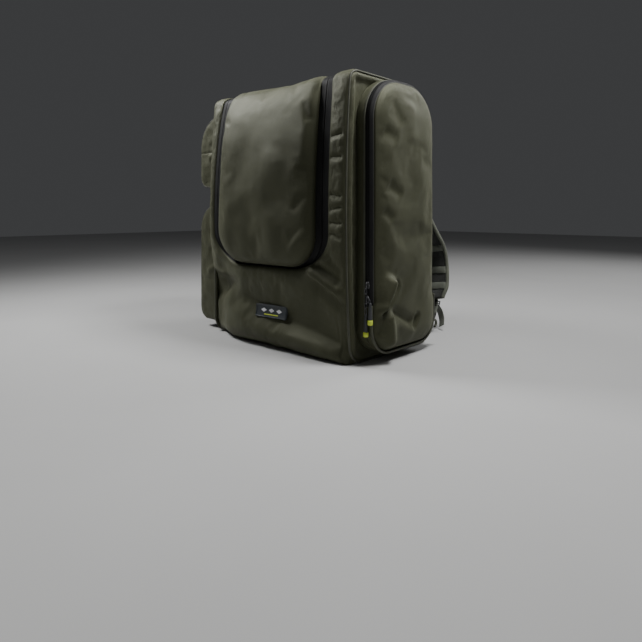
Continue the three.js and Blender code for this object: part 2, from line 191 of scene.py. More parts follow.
def blurred(stations, values, width=8.0):
    """A table for np.interp through a few stations, with its kinks rounded off."""
    at = np.arange(stations[0], stations[-1] + 1.0)
    rough = np.interp(at, stations, values)
    reach = int(width * 3)
    kernel = bell(np.arange(-reach, reach + 1) / width / math.sqrt(2))
    padded = np.pad(rough, reach, mode="reflect", reflect_type="odd")
    return at, np.convolve(padded, kernel / kernel.sum(), mode="valid")


# how far the front bulges at mid-height, from the left edge to the right edge
BULGE = blurred([-SIDE, -205, -180, -110, 0, 110, 180, SIDE], [6, 22, 35, 38, 34.5, 25, 18, 14])
BULGE_END = 25  # how far back the bulge reaches along the sides


def settle(points):
    """The bulge of the loaded pack, the same for every piece sewn to its front and sides."""
    x, y, z = points[..., 0], points[..., 1], points[..., 2]
    rise = np.sin(math.pi * np.clip((z - 5) / (TOP - 8), 0, 1)) ** 0.7
    near = smooth((BULGE_END - y) / (BULGE_END - FRONT))
    free = 1 - smooth((np.abs(x) - SIDE - 6) / 16)
    held = 1 - smooth((-x - 60) / 130) * smooth((250 - z) / 150)  # the left foot stays back
    forward = np.interp(x, *BULGE) * rise * near * free * held
    sag = 5 * bump((y - 10) / 120) * smooth((z - TOP + 60) / 60) * bump(x / 240)
    out = points.copy()
    out[..., 1] -= forward
    out[..., 2] = np.maximum(out[..., 2] - sag, 0.4)
    return out


def on_wrap(x, q, h):
    y, z, ny, nz = BODY.at(q)
    return settle(stack(x, y + ny * h, z + nz * h))


# ---- meshes --------------------------------------------------------------------------------------


def make_object(name, points, faces, look, uv=None, smooth_faces=True):
    mesh = bpy.data.meshes.new(name)
    mesh.from_pydata((np.asarray(points).reshape(-1, 3) * MM).tolist(), [], faces)
    if uv is not None:
        layer = mesh.uv_layers.new(name="cloth")
        index = np.zeros(len(mesh.loops), int)
        mesh.loops.foreach_get("vertex_index", index)
        layer.data.foreach_set("uv", (np.asarray(uv).reshape(-1, 2) * MM)[index].ravel())
    mesh.polygons.foreach_set("use_smooth", [smooth_faces] * len(mesh.polygons))
    mesh.materials.append(look)
    mesh.update()
    piece = bpy.data.objects.new(name, mesh)
    bpy.context.scene.collection.objects.link(piece)
    return piece


def grid_faces(rows, columns, close_rows=False, close_columns=False, flip=False):
    faces = []
    for i in range(rows if close_rows else rows - 1):
        for j in range(columns if close_columns else columns - 1):
            a, b = i * columns + j, i * columns + (j + 1) % columns
            c, d = ((i + 1) % rows) * columns + (j + 1) % columns, ((i + 1) % rows) * columns + j
            faces.append((a, d, c, b) if flip else (a, b, c, d))
    return faces


def grid(name, points, look, uv=None, flip=False, close_rows=False):
    faces = grid_faces(*points.shape[:2], close_rows, flip=flip)
    return make_object(name, points, faces, look, uv)


def capped_faces(rows, columns, flip=False):
    """The faces of a tube of points in rows, with a cap on each end."""
    first, last = range(columns), range((rows - 1) * columns, rows * columns)
    caps = (first, reversed(last)) if flip else (reversed(first), last)
    return grid_faces(rows, columns, close_columns=True, flip=flip) + [tuple(cap) for cap in caps]


def bake(piece):
    """Applies the piece's modifiers to its mesh."""
    depsgraph = bpy.context.evaluated_depsgraph_get()
    mesh = bpy.data.meshes.new_from_object(piece.evaluated_get(depsgraph))
    piece.modifiers.clear()
    piece.data = mesh
    return piece


def thicken(piece, thickness):
    """Turns a single sheet into a closed shell; the sheet stays its outer face."""
    solidify = piece.modifiers.new("thickness", "SOLIDIFY")
    solidify.thickness = thickness * MM
    solidify.offset = -1.0
    solidify.use_even_offset = False
    return bake(piece)


def read_points(piece):
    """The piece's vertices, in metres."""
    points = np.empty(len(piece.data.vertices) * 3)
    piece.data.vertices.foreach_get("co", points)
    return points.reshape(-1, 3)


def write_points(piece, points):
    piece.data.vertices.foreach_set("co", points.ravel())
    piece.data.update()


FLOOR_GAP = 0.3  # nothing reaches lower than this


def fit(piece, body, slot, *nodes, fill=None):
    """Puts a piece on its body, no lower than the floor gap, and hides the nodes it stands for; the slot is
    not used.
    """
    points = read_points(piece)
    points[:, 2] = np.maximum(points[:, 2], FLOOR_GAP * MM)
    write_points(piece, points)
    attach(piece, body)
    if nodes:
        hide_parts(*nodes)


def rim_pins(edge, reach):
    """How firmly each point is held: 1 at the seam, 0 from `reach` mm inside it."""
    return 1 - smooth((edge - 2) / reach)


def press(piece, pins, shrink=-0.025, pressure=0.6, frames=18, cap=6.0):
    """Lets a sewn-in panel settle as cloth, its seams held, then keeps what it did within a cap."""
    before = read_points(piece)
    group = piece.vertex_groups.new(name="seams")
    for i, weight in enumerate(pins.ravel()):
        group.add([i], float(weight), "REPLACE")
    cloth = piece.modifiers.new("cloth", "CLOTH")
    s = cloth.settings
    s.quality = 6
    s.mass = 0.25
    s.vertex_group_mass = "seams"
    s.shrink_min = shrink
    s.tension_stiffness = s.compression_stiffness = 18
    s.shear_stiffness = 6
    s.bending_stiffness = 1.2
    s.use_pressure = True
    s.uniform_pressure_force = pressure
    s.effector_weights.gravity = 0
    cloth.collision_settings.use_collision = False
    for frame_number in range(1, frames + 1):
        bpy.context.scene.frame_set(frame_number)
    bake(piece)
    bpy.context.scene.frame_set(1)
    move = read_points(piece) - before
    size = np.linalg.norm(move, axis=1, keepdims=True) / MM
    move = move * (cap * np.tanh(size / cap) / np.maximum(size, 1e-9))
    write_points(piece, before + move)
    piece.vertex_groups.clear()


def frames_along(path, hint):
    """Tangent, outward and sideways directions along a path, outward staying near `hint`."""
    path = np.asarray(path, float)
    tangent = np.gradient(path, axis=0)
    tangent /= np.linalg.norm(tangent, axis=1, keepdims=True)
    hint = np.broadcast_to(np.asarray(hint, float), path.shape)
    outward = hint - tangent * (hint * tangent).sum(1, keepdims=True)
    outward /= np.linalg.norm(outward, axis=1, keepdims=True)
    return tangent, outward, np.cross(tangent, outward)


def circle(radius, count=10):
    a = np.linspace(0, 2 * math.pi, count, endpoint=False)
    return np.stack([np.cos(a) * radius, np.sin(a) * radius], 1)


def swept(path, hint, section, closed=False):
    """Points and faces of a closed section (out, side) swept along a path, capped unless closed."""
    path, section = np.asarray(path, float), np.asarray(section, float)
    hint = np.broadcast_to(np.asarray(hint, float), path.shape)
    if closed:
        looped = [-1, *range(len(path)), 0]
        _, outward, sideways = (d[1:-1] for d in frames_along(path[looped], hint[looped]))
    else:
        _, outward, sideways = frames_along(path, hint)
    sizes = np.broadcast_to(section, (len(path), *section.shape[-2:]))
    points = path[:, None] + outward[:, None] * sizes[..., :1] + sideways[:, None] * sizes[..., 1:]
    rows, columns = points.shape[:2]
    faces = grid_faces(rows, columns, True, True, True) if closed else capped_faces(rows, columns, True)
    return points.reshape(-1, 3), faces


def tube(path, radius, hint, count=10):
    """Points and faces of a capped tube along a path; the radius may change along it."""
    radius = np.broadcast_to(radius, len(path))[:, None, None]
    return swept(path, hint, circle(1, count) * radius)


def sweep(name, path, hint, section, look, slot, *nodes, body="pack", closed=False, fill=None):
    """A piece made by sweeping a section, or one section for each point, along a path."""
    section = np.asarray(section, float)
    points, faces = swept(path, hint, section, closed)
    girth = run_length(section[0] if section.ndim == 3 else section)
    uv = stack(girth[None, :], run_length(path)[:, None])
    fit(make_object(name, points, faces, look, uv), body, slot, *nodes, fill=fill)


def band_section(width, thickness, roundness=0.35, count=5):
    """A flat strip's section (out, side) with rounded edges."""
    half, t = width / 2, thickness / 2
    r = min(t, width * min(roundness, 0.46))
    points = []
    for centre, start in ((half - r, 90), (-half + r, 270)):
        for k in range(count + 1):
            a = math.radians(start - 180 * k / count)
            points.append((t * math.sin(a), centre + r * math.cos(a)))
    return np.array(points)


def resample(path, step):
    length = run_length(path)
    count = max(3, int(round(length[-1] / step)) + 1)
    return interpolated(np.linspace(0, length[-1], count), length, path)


def spline(points, count):
    """A smooth curve through a few points."""
    points = np.asarray(points, float)
    padded = np.concatenate([[2 * points[0] - points[1]], points, [2 * points[-1] - points[-2]]])
    out = []
    per = max(2, count // (len(points) - 1))
    for i in range(1, len(padded) - 2):
        a, b, c, d = padded[i - 1 : i + 3]
        for t in np.linspace(0, 1, per, endpoint=False):
            out.append(0.5 * (2 * b + (c - a) * t + (2 * a - 5 * b + 4 * c - d) * t**2
                              + (3 * b - a - 3 * c + d) * t**3))
    out.append(points[-1])
    return np.array(out)


def merged(parts):
    """Several parts' points and faces as one mesh."""
    points, faces, base = [], [], 0
    for part_points, part_faces in parts:
        points.append(part_points)
        faces += [tuple(base + i for i in face) for face in part_faces]
        base += len(part_points)
    return np.concatenate(points), faces


# a thread from end to end: (share of its length, share of its radius)
STITCH = [(-0.5, 0.25), (-0.3, 1.0), (0.3, 1.0), (0.5, 0.25)]
COIL_TURN = [(-0.5, 0.5), (-0.25, 1.0), (0.25, 1.0), (0.5, 0.5)]


def threads(path, hint, profile, pitch, length, radius, across=False, lift=0.0):
    """Points and faces of a row of short round threads, each along the path or across it."""
    beads = resample(path, pitch)
    hint = np.broadcast_to(hint, np.shape(path))
    at = np.linspace(0, len(hint) - 1, len(beads))
    tangent, outward, sideways = frames_along(beads, interpolated(at, np.arange(len(hint)), hint))
    axes = (sideways, outward, tangent) if across else (tangent, outward, sideways)
    ring = circle(radius, 5)
    thread = np.array([(share * length, out * swell + lift, side * swell)
                       for share, swell in profile for out, side in ring])
    faces = capped_faces(len(profile), len(ring))
    return merged([(points, faces) for points in beads[:, None] + thread @ np.stack(axes, 1)])


def stitches(name, path, hint, body="pack"):
    """One line of stitches lying on a path."""
    rows = threads(path, hint, STITCH, pitch=3.2, length=2.4, radius=0.35, lift=0.15)
    fit(make_object(name, *rows, THREAD), body, "fabric")


def coil(name, path, hint, body):
    """The turns of a zip's coil, across a path."""
    rows = threads(path, hint, COIL_TURN, pitch=1.9, length=2.5, radius=0.62, across=True)
    fit(make_object(name, *rows, COIL), body, "zip_tape")


# ---- materials -----------------------------------------------------------------------------------


class Nodes:
    """Short names for the nodes of one material."""

    def __init__(self, name):
        self.material = bpy.data.materials.new(name)
        self.material.use_nodes = True
        self.tree = self.material.node_tree
        self.shader = self.tree.nodes["Principled BSDF"]

    def link(self, value, socket):
        if isinstance(value, bpy.types.NodeSocket):
            self.tree.links.new(value, socket)
        else:
            socket.default_value = value

    def math(self, operation, a, b=0.0):
        node = self.tree.nodes.new("ShaderNodeMath")
        node.operation = operation
        self.link(a, node.inputs[0])
        self.link(b, node.inputs[1])
        return node.outputs[0]

    def times(self, a, b):
        return self.math("MULTIPLY", a, b)

    def plus(self, a, b):
        return self.math("ADD", a, b)

    def rest(self, a):
        """What is left of 1."""
        return self.math("SUBTRACT", 1.0, a)

    def mix(self, factor, a, b):
        node = self.tree.nodes.new("ShaderNodeMix")
        node.data_type = "RGBA"
        self.link(factor, node.inputs[0])
        self.link(a, node.inputs[6])
        self.link(b, node.inputs[7])
        return node.outputs[2]

    def blot(self, value, low, high, share, base, color):
        """Lays some of a colour over the base where a noise is strong."""
        return self.mix(self.times(self.ramp(value, low, high), share), base, color)

    def noise(self, scale, detail=3.0, where="object"):
        source = self.tree.nodes.new("ShaderNodeTexCoord")
        node = self.tree.nodes.new("ShaderNodeTexNoise")
        node.inputs["Scale"].default_value = scale
        node.inputs["Detail"].default_value = detail
        node.inputs["Roughness"].default_value = 0.55
        self.tree.links.new(source.outputs["UV" if where == "cloth" else "Object"], node.inputs["Vector"])
        return node.outputs["Fac"]

    def ramp(self, value, low, high, to_low=0.0, to_high=1.0):
        node = self.tree.nodes.new("ShaderNodeMapRange")
        for socket, number in zip(node.inputs[1:5], (low, high, to_low, to_high)):
            socket.default_value = number
        self.link(value, node.inputs[0])
        return node.outputs[0]

    def cloth_axes(self):
        source = self.tree.nodes.new("ShaderNodeTexCoord")
        split = self.tree.nodes.new("ShaderNodeSeparateXYZ")
        self.tree.links.new(source.outputs["UV"], split.inputs[0])
        return split.outputs[0], split.outputs[1]

    def wave(self, value, pitch):
        return self.math("SINE", self.times(value, math.pi / pitch))

    def ribs(self, value, pitch):
        """0 to 1 waves `pitch` metres apart."""
        return self.math("ABSOLUTE", self.wave(value, pitch))

    def bump(self, height, strength, distance):
        node = self.tree.nodes.new("ShaderNodeBump")
        node.inputs["Strength"].default_value = strength
        node.inputs["Distance"].default_value = distance
        self.link(height, node.inputs["Height"])
        self.tree.links.new(node.outputs[0], self.shader.inputs["Normal"])

    def finish(self, color, roughness, metallic=0.0, sheen=0.0, specular=0.5, tint=None):
        self.link(color, self.shader.inputs["Base Color"])
        self.link(roughness, self.shader.inputs["Roughness"])
        self.shader.inputs["Metallic"].default_value = metallic
        self.shader.inputs["Sheen Weight"].default_value = sheen
        self.shader.inputs["Sheen Roughness"].default_value = 0.45
        self.shader.inputs["Specular IOR Level"].default_value = specular
        if tint:
            self.shader.inputs["Specular Tint"].default_value = tint
            self.shader.inputs["Sheen Tint"].default_value = tint
        return self.material


def rgb(r, g, b):
    return (r, g, b, 1.0)


def scaled(color, k):
    return rgb(*(min(1, c * k) for c in color[:3]))


GLEAM = rgb(0.86, 0.88, 0.62)  # the colour of light that glances off the olive threads


def woven(name, color, pitch=0.00085):
    """Plain-weave cloth: threads pass over and under each other, with slubs, dust and faded patches."""
    n = Nodes(name)
    u, v = n.cloth_axes()
    over = n.ramp(n.times(n.wave(u, pitch), n.wave(v, pitch)), -0.12, 0.12)
    weave = n.plus(n.times(n.ribs(u, pitch), over), n.times(n.ribs(v, pitch), n.rest(over)))
    slub, grain = n.noise(900, 2, "cloth"), n.noise(280, 3, "cloth")
    fade, dust = n.noise(9, 4), n.noise(60, 3)
    base = n.mix(n.ramp(fade, 0.3, 0.7), scaled(color, 0.86), scaled(color, 1.14))
    base = n.blot(slub, 0.35, 0.75, 0.35, base, scaled(color, 1.5))
    base = n.mix(n.times(n.rest(weave), 0.35), base, scaled(color, 0.35))
    base = n.blot(dust, 0.62, 0.85, 0.12, base, rgb(0.2, 0.19, 0.16))
    base = n.blot(grain, 0.4, 0.7, 0.22, base, scaled(color, 1.7))
    relief = n.plus(weave, n.times(slub, 0.5))
    n.bump(n.plus(relief, n.times(grain, 2.2)), 0.6, 0.00018)
    return n.finish(base, n.ramp(fade, 0.3, 0.7, 0.51, 0.65), sheen=0.12, tint=GLEAM)


def ribbed(name, color, pitch, depth, roughness, across=True, sheen=0.1, specular=0.5):
    """Narrow woven tape or webbing, ribbed across or along its length."""
    n = Nodes(name)
    u, v = n.cloth_axes()
    rib = n.ribs(v if across else u, pitch)
    thread = n.ribs(u if across else v, 0.0006)
    worn = n.noise(45, 3)
    base = n.mix(n.ramp(worn, 0.35, 0.7), scaled(color, 0.8), scaled(color, 1.25))
    base = n.mix(n.times(n.rest(rib), 0.55), base, scaled(color, 0.35))
    n.bump(n.plus(rib, n.times(thread, 0.35)), 0.7, depth)
    gloss = n.ramp(worn, 0.3, 0.7, roughness - 0.07, roughness + 0.08)
    return n.finish(base, gloss, sheen=sheen, specular=specular)


def spacer_mesh(name, color, pitch=0.0021):
    """Knitted spacer mesh: rows of small round holes on the slant."""
    n = Nodes(name)
    u, v = n.cloth_axes()
    holes = n.times(n.ribs(n.plus(u, v), pitch), n.ribs(n.math("SUBTRACT", u, v), pitch))
    fibre = n.noise(700, 2, "cloth")
    base = n.mix(n.ramp(holes, 0.15, 0.5), scaled(color, 2.0), scaled(color, 0.3))
    n.bump(n.plus(n.rest(holes), n.times(fibre, 0.4)), 0.9, 0.0006)
    return n.finish(base, 0.85, sheen=0.25)


def moulded(name, color, roughness, grain=400, depth=0.00006):
    n = Nodes(name)
    fine, worn = n.noise(grain * 4, 2), n.noise(70, 3)
    base = n.mix(n.ramp(worn, 0.3, 0.75), scaled(color, 0.85), scaled(color, 1.2))
    n.bump(fine, 0.4, depth)
    return n.finish(base, n.ramp(worn, 0.3, 0.7, roughness - 0.08, roughness + 0.1))


def plated(name, color, roughness):
    n = Nodes(name)
    worn, fine = n.noise(260, 4), n.noise(2400, 2)
    base = n.mix(n.ramp(worn, 0.5, 0.72), color, scaled(color, 2.6))
    n.bump(fine, 0.3, 0.00003)
    return n.finish(base, n.ramp(worn, 0.3, 0.7, roughness - 0.08, roughness + 0.14), metallic=1.0)


CLOTH = woven("olive_oxford", rgb(0.036, 0.0375, 0.022))
BINDING = ribbed("binding_tape", rgb(0.07, 0.073, 0.047), 0.0011, 0.00012, 0.68)
STRAP_BINDING = ribbed("strap_binding", rgb(0.15, 0.16, 0.12), 0.0011, 0.00012, 0.68)
DARK_BINDING = ribbed("dark_binding", rgb(0.03, 0.031, 0.025), 0.0011, 0.00012, 0.6)
PIPING = ribbed("piping_tape", rgb(0.062, 0.064, 0.042), 0.0009, 0.00012, 0.62)
ZIP_TAPE = ribbed("zip_tape", rgb(0.010, 0.0101, 0.0103), 0.0012, 0.00008, 0.66, False, 0.0, 0.2)
COIL = moulded("zip_coil", rgb(0.012, 0.012, 0.012), 0.4)
WEBBING = ribbed("webbing", rgb(0.03, 0.032, 0.025), 0.0016, 0.0003, 0.7)
WEBBING_PALE = ribbed("pale_webbing", rgb(0.14, 0.15, 0.12), 0.0016, 0.0003, 0.7)
THREAD = moulded("thread", rgb(0.055, 0.058, 0.04), 0.6)
METAL = plated("gunmetal", rgb(0.10, 0.10, 0.105), 0.36)
GRIP = moulded("grip_sleeve", rgb(0.045, 0.047, 0.05), 0.55, 300, 0.0001)
LIME = moulded("lime_tip", rgb(0.62, 0.74, 0.06), 0.38)
PLASTIC = moulded("black_acetal", rgb(0.014, 0.014, 0.014), 0.42)
RUBBER = moulded("label_rubber", rgb(0.03, 0.037, 0.043), 0.5)
WHITE = moulded("label_white", rgb(0.7, 0.7, 0.72), 0.5)
MESH = spacer_mesh("spacer_mesh", rgb(0.016, 0.017, 0.014))
BOARD = moulded("polyethylene_board", rgb(0.03, 0.03, 0.03), 0.55, 60, 0.0002)


def sheet(name, points, uv, thickness, body, slot, *nodes, look=CLOTH, flip=False, loop=False,
          fill=None, pins=None, **settling):
    """A thick sheet over a grid of points, sewn to its body. With pins, it settles as cloth first."""
    piece = grid(name, points, look, uv, flip, loop)
    if pins is not None:
        press(piece, pins, **settling)
    fit(thicken(piece, thickness), body, slot, *nodes, fill=fill)


# thicknesses of the cloths, each with its backing
LID_CLOTH, PANEL_CLOTH, POCKET_CLOTH, ZIP_CLOTH = 3.0, 2.5, 2.0, 0.8

# ---- the front: lid, its zip and the panel round it ------------------------------------------------

LID_HALF = node_box("front_lid")[1][0]
LID_LOW = node_box("front_lid")[0][2]
LID_RADIUS = 71.7
TAPE_HALF = LID_OUT[1][0]
FOLD = 5  # the tape is folded into a groove this wide under the lid
TAPE_PAIR = 32  # both halves of the lid's zip tape, side by side
STATION_STEP = 4.0
SKIN_EDGE = SIDE - 0.6
CENTRE_X = LID_HALF - LID_RADIUS
CENTRE_Q = front_q(LID_LOW + LID_RADIUS)
HINGE_Q = top_q(HINGE_Y)


def u_stations(step, arc, corner=None):
    """Stations along the lid's U, from the right end of the hinge to the left end: (part, place)."""
    side = np.linspace(HINGE_Q, CENTRE_Q, int((HINGE_Q - CENTRE_Q) / step), endpoint=False)
    angles = np.linspace(0, math.pi / 2, arc, endpoint=False)
    if corner is not None:
        angles[np.argmin(np.abs(angles - corner))] = corner
    across = np.linspace(CENTRE_X, -CENTRE_X, int(2 * CENTRE_X / step) + 1)
    right = [("side", q) for q in side] + [("arc", a) for a in angles]
    return right, [("low", x) for x in across]


def u_line(t, stations):
    """Points (x, q, lowness) of the U at t, from 0 at the lid's edge to 1 at the tape's outer edge."""
    right, across = stations
    rx = LID_RADIUS + t * (TAPE_HALF - LID_HALF)
    rq = LID_RADIUS + t * FOLD
    points = []
    for part, place in right:
        if part == "side":
            points.append((CENTRE_X + rx, place, 0.0))
        else:
            up = math.sin(place)
            points.append((CENTRE_X + rx * math.cos(place), CENTRE_Q - rq * up, up**2))
    low = [(x, CENTRE_Q - rq, 1.0) for _, x in across]
    left = [(-x, q, lowness) for x, q, lowness in reversed(points)]
    return np.array(points + low + left)


def tape_height(t, lowness):
    """The tape lies a little below the cloth, and folds into a groove under the lid."""
    return -2.0 - 13 * lowness * np.maximum(1 - np.abs(2 * t - 1), 0) ** 0.7


def build_lid_zip():
    stations = u_stations(STATION_STEP, 22)
    for half, t0, t1, body in (("outer", 0.52, 1.02, "pack"), ("inner", -0.02, 0.48, "lid")):
        ts = np.linspace(t0, t1, 9)
        x, q, low = np.moveaxis(np.stack([u_line(t, stations) for t in ts], 1), 2, 0)
        height = tape_height(ts, low) + 0.5 * bell((ts - 0.5) * 7.5)
        uv = stack(ts * TAPE_PAIR, np.arange(len(q))[:, None] * STATION_STEP)
        sheet(f"lid_tape_{half}", on_wrap(x, q, height), uv, 0.9, body, "zip_tape",
              f"lid_zip_{half}_half", look=ZIP_TAPE)


def crease(x, z, start, end, width, height):
    """A ridge (or a dent, if height is below 0) along a line, fading at both its ends."""
    a, b = np.array(start, float), np.array(end, float)
    run = b - a
    length = np.hypot(*run)
    along = ((x - a[0]) * run[0] + (z - a[1]) * run[1]) / length**2
    off = ((x - a[0]) * run[1] - (z - a[1]) * run[0]) / length
    ends = smooth(along / 0.3 + 0.5) * smooth((1 - along) / 0.3 + 0.5)
    return height * bell(off / width) * ends


def creases(rows, x, z):
    """The summed height of a list of creases."""
    return sum(crease(x, z, *row) for row in rows)


FRONT_FOLDS = [
    # (start x, z), (end x, z), width, height
    ((132, 182), (214, 140), 8, 11),
    ((140, 196), (212, 160), 8, -8),
    ((146, 156), (214, 112), 12, -6),
    ((176, 214), (214, 178), 9, -4),
    ((60, 150), (140, 120), 18, 3),
    ((-150, 152), (-214, 140), 7, 6),
    ((-140, 120), (-214, 96), 14, -5),
    ((-120, 96), (-214, 66), 16, 4),
    ((-70, 130), (-160, 100), 16, 3),
]
STRIP_PUCKERS = [447, 404, 329, 304, 276, 251]
VALLEY = blurred([-SIDE, -150, -80, 0, 80, 150, SIDE], [172, 158, 128, 98, 72, 52, 30], 12)


def front_height(x, q, inner, outer):
    """How far the front panel's cloth stands off, at distances from its inner and outer seams."""
    z = BODY.at(q)[1]
    on_face = smooth((q - 14) / 30) * smooth((BODY.ends[2] - q) / 30)
    h = -3.0 + crown(inner, 6.5, 6) - 4.5 * np.exp(-outer / 4)
    # the panel leans in under the lid, down to a slanting valley, and the toe swells out below it
    valley = np.interp(x, *VALLEY)
    lean = -12 * smooth((LID_LOW - 25 - z) / (LID_LOW - 25 - valley + 20))
    swell = 29 * smooth((valley - z) / np.maximum(valley - 26, 22)) * smooth(outer / 16)
    h = h + (lean + swell * smooth((x + SIDE + 5) / 110)) * np.where(z < LID_LOW, 1, 0) * smooth(inner / 14)
    h = h + creases(FRONT_FOLDS, x, z) * smooth(outer / 8) * smooth(inner / 10)
    for i, level in enumerate(STRIP_PUCKERS):
        tilt = (i % 3 - 1) * 3
        near = (184, level + tilt), (213, level - tilt)
        h = h + crease(x, z, *near, 5.5, -5.0) + crease(x, z + 12, *near, 8.0, 0.8)
    return h * (0.25 + 0.75 * on_face)


def build_front_skin():
    corner = math.atan2(CENTRE_Q, SKIN_EDGE - CENTRE_X)
    stations = u_stations(3.2, 34, corner)
    inner = u_line(1.0, stations)
    outer = []
    for x, q, _ in inner:
        if q >= CENTRE_Q - 1e-6:
            outer.append((math.copysign(SKIN_EDGE, x), q))
        elif abs(x) <= CENTRE_X + 1e-6:
            outer.append((x, 0.0))
        else:
            dx, dq = abs(x) - CENTRE_X, CENTRE_Q - q
            rx, rq = LID_RADIUS + TAPE_HALF - LID_HALF, LID_RADIUS + FOLD
            c, s = dx / rx, dq / rq
            k = min((SKIN_EDGE - CENTRE_X) / max(c, 1e-6), CENTRE_Q / max(s, 1e-6))
            outer.append((math.copysign(CENTRE_X + c * k, x), CENTRE_Q - s * k))
    outer = np.array(outer)
    t = np.linspace(0, 1, 44)
    x = inner[:, :1] + (outer[:, :1] - inner[:, :1]) * t
    q = inner[:, 1:2] + (outer[:, 1:2] - inner[:, 1:2]) * t
    reach = np.hypot(outer[:, 0] - inner[:, 0], outer[:, 1] - inner[:, 1])[:, None]
    from_lid, from_seam = reach * t, reach * (1 - t)
    h = front_height(x, q, from_lid, from_seam)
    h = h + crumple(on_wrap(x, q, h), 34, 1.3, 3.1) * smooth(from_lid / 12) * smooth(from_seam / 12)
    sheet("front_panel_cloth", on_wrap(x, q, h), stack(x, q), PANEL_CLOTH, "pack", "fabric",
          "front_panel", "front_strip_left", "front_strip_right", "top_panel",
          pins=rim_pins(np.minimum(from_lid, from_seam), 10), shrink=-0.006, pressure=0.1)


def lid_grid(step):
    """Rows (x, q) of the lid from the hinge to its lower edge."""
    right, _ = u_stations(step, 16)
    line = u_line(0.0, (right, [("low", CENTRE_X)]))[: len(right) + 1]
    u = np.linspace(-1, 1, int(2 * LID_HALF / step))
    return line[:, :1] * u, line[:, 1:2] + 0 * u


def lid_edge_distance(x, q):
    dx, dq = np.abs(x) - CENTRE_X, CENTRE_Q - q
    corner = LID_RADIUS - np.hypot(np.maximum(dx, 0), np.maximum(dq, 0))
    return np.where(dq > 0, np.where(dx > 0, corner, LID_RADIUS - dq), LID_HALF - np.abs(x))


LID_FOLDS = [
    ((128, 330), (104, 300), 9, -2.2),
    ((132, 262), (96, 246), 10, -2.2),
    ((60, 420), (-30, 300), 34, 4),
    ((-20, 330), (-10, 200), 26, -4),
    ((40, 300), (52, 196), 20, 3),
    ((-90, 320), (-100, 210), 22, 3.5),
    ((96, 220), (130, 260), 8, 3),
    ((120, 520), (135, 480), 8, -3),
]


def build_lid():
    x, q = lid_grid(4.5)
    edge = lid_edge_distance(x, q)
    z = BODY.at(q)[1]
    over_top = smooth((q - BODY.ends[2] + 45) / 70)
    near_hinge = smooth((HINGE_Q - q) / 60)
    h = -2.0 + crown(edge, 22 - 17 * over_top, 9) * (0.15 + 0.85 * near_hinge)
    h = h - 1.5 * smooth(1 - edge / 3)
    h = h + creases(LID_FOLDS, x, z) * smooth(edge / 16) * (1 - over_top)
    flat = on_wrap(x, q, h)
    h = h + (crumple(flat, 130, 5.0, 9.0, 2) + crumple(flat, 34, 0.5, 4.0, 2)) * smooth(edge / 20)
    sheet("front_lid_cloth", on_wrap(x, q, h), stack(x, q), LID_CLOTH, "lid", "fabric", "front_lid",
          flip=True, fill=0.5, pins=rim_pins(edge, 10), shrink=-0.004, pressure=0.25)


def build_lid_hinge():
    """A hidden strip of cloth between the top panel and the lid."""
    across, along = np.linspace(-1, 1, 60) * (LID_HALF - 1), HINGE_Q + np.linspace(9, -9, 13)
    x, q = np.meshgrid(across, along)
    piece = grid("lid_hinge_cloth", on_wrap(x, q, -3.0 + 0 * q), CLOTH, stack(x, q))
    thicken(piece, 1.2)
    near, far = ((0, (HINGE_Y + d) * MM, TOP * MM) for d in (6, -6))
    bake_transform(piece)
    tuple(near)
    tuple(far)


# ---- side, base and back ---------------------------------------------------------------------------


def rim_distance(a, b, outline):
    """Distance from points (a, b) to an outline, in mm."""
    rows = np.stack(outline.at(np.arange(0, outline.length, 3.0))[:2], 1)
    flat = np.stack([a.ravel(), b.ravel()], 1)
    batches = np.array_split(flat, len(flat) // 2000 + 1)
    near = [np.sqrt(((batch[:, None] - rows[None]) ** 2).sum(2).min(1)) for batch in batches]
    return np.concatenate(near).reshape(a.shape)


def body_rim(x, inset, step):
    q = np.arange(0, BODY.length, step)
    y, z, ny, nz = BODY.at(q)
    return stack(x, y - ny * inset, z - nz * inset)


def build_side(name, sign, node, rings=44):
    """A panel filled in from the body's outline to its middle, rolled in towards the piping."""
    rim = body_rim(sign * (SIDE - 0.4), 0.6, 5.0)
    middle = np.array([sign * SIDE, (FRONT + BACK) / 2, TOP / 2])
    share = np.linspace(1, 0, rings, endpoint=False) ** 0.75
    points = middle + (rim[None] - middle) * share[:, None, None]
    points = np.concatenate([points.reshape(-1, 3), [middle]])
    uv = points[:, 1:].copy()
    edge = rim_distance(points[:, 1], points[:, 2], BODY)
    roll = 7.5 * smooth(edge / 7) - 6.0 * smooth((edge - 10) / 13)
    points[:, 0] += sign * (roll - 2.4 + crumple(points, 30, 1.6, 2.0) * smooth(edge / 8))
    count = len(rim)
    last, centre = (rings - 1) * count, rings * count
    faces = grid_faces(rings, count, close_columns=True, flip=sign > 0)
    for j in range(count):
        a, b = last + j, last + (j + 1) % count
        faces.append((b, a, centre) if sign > 0 else (a, b, centre))
    piece = make_object(name, settle(points), faces, CLOTH, uv)
    fit(thicken(piece, PANEL_CLOTH), "pack", "fabric", node)


def build_body_piping(name, sign, node):
    """A cord covered in tape, round the seam of the side panel."""
    rim = settle(body_rim(sign * (SIDE + 1.2), 0.9, 3.0))
    _, _, ny, nz = BODY.at(np.arange(0, BODY.length, 3.0))
    sweep(name, rim, stack(0, ny, nz), circle(2.1, 12), PIPING, "binding", node, closed=True)


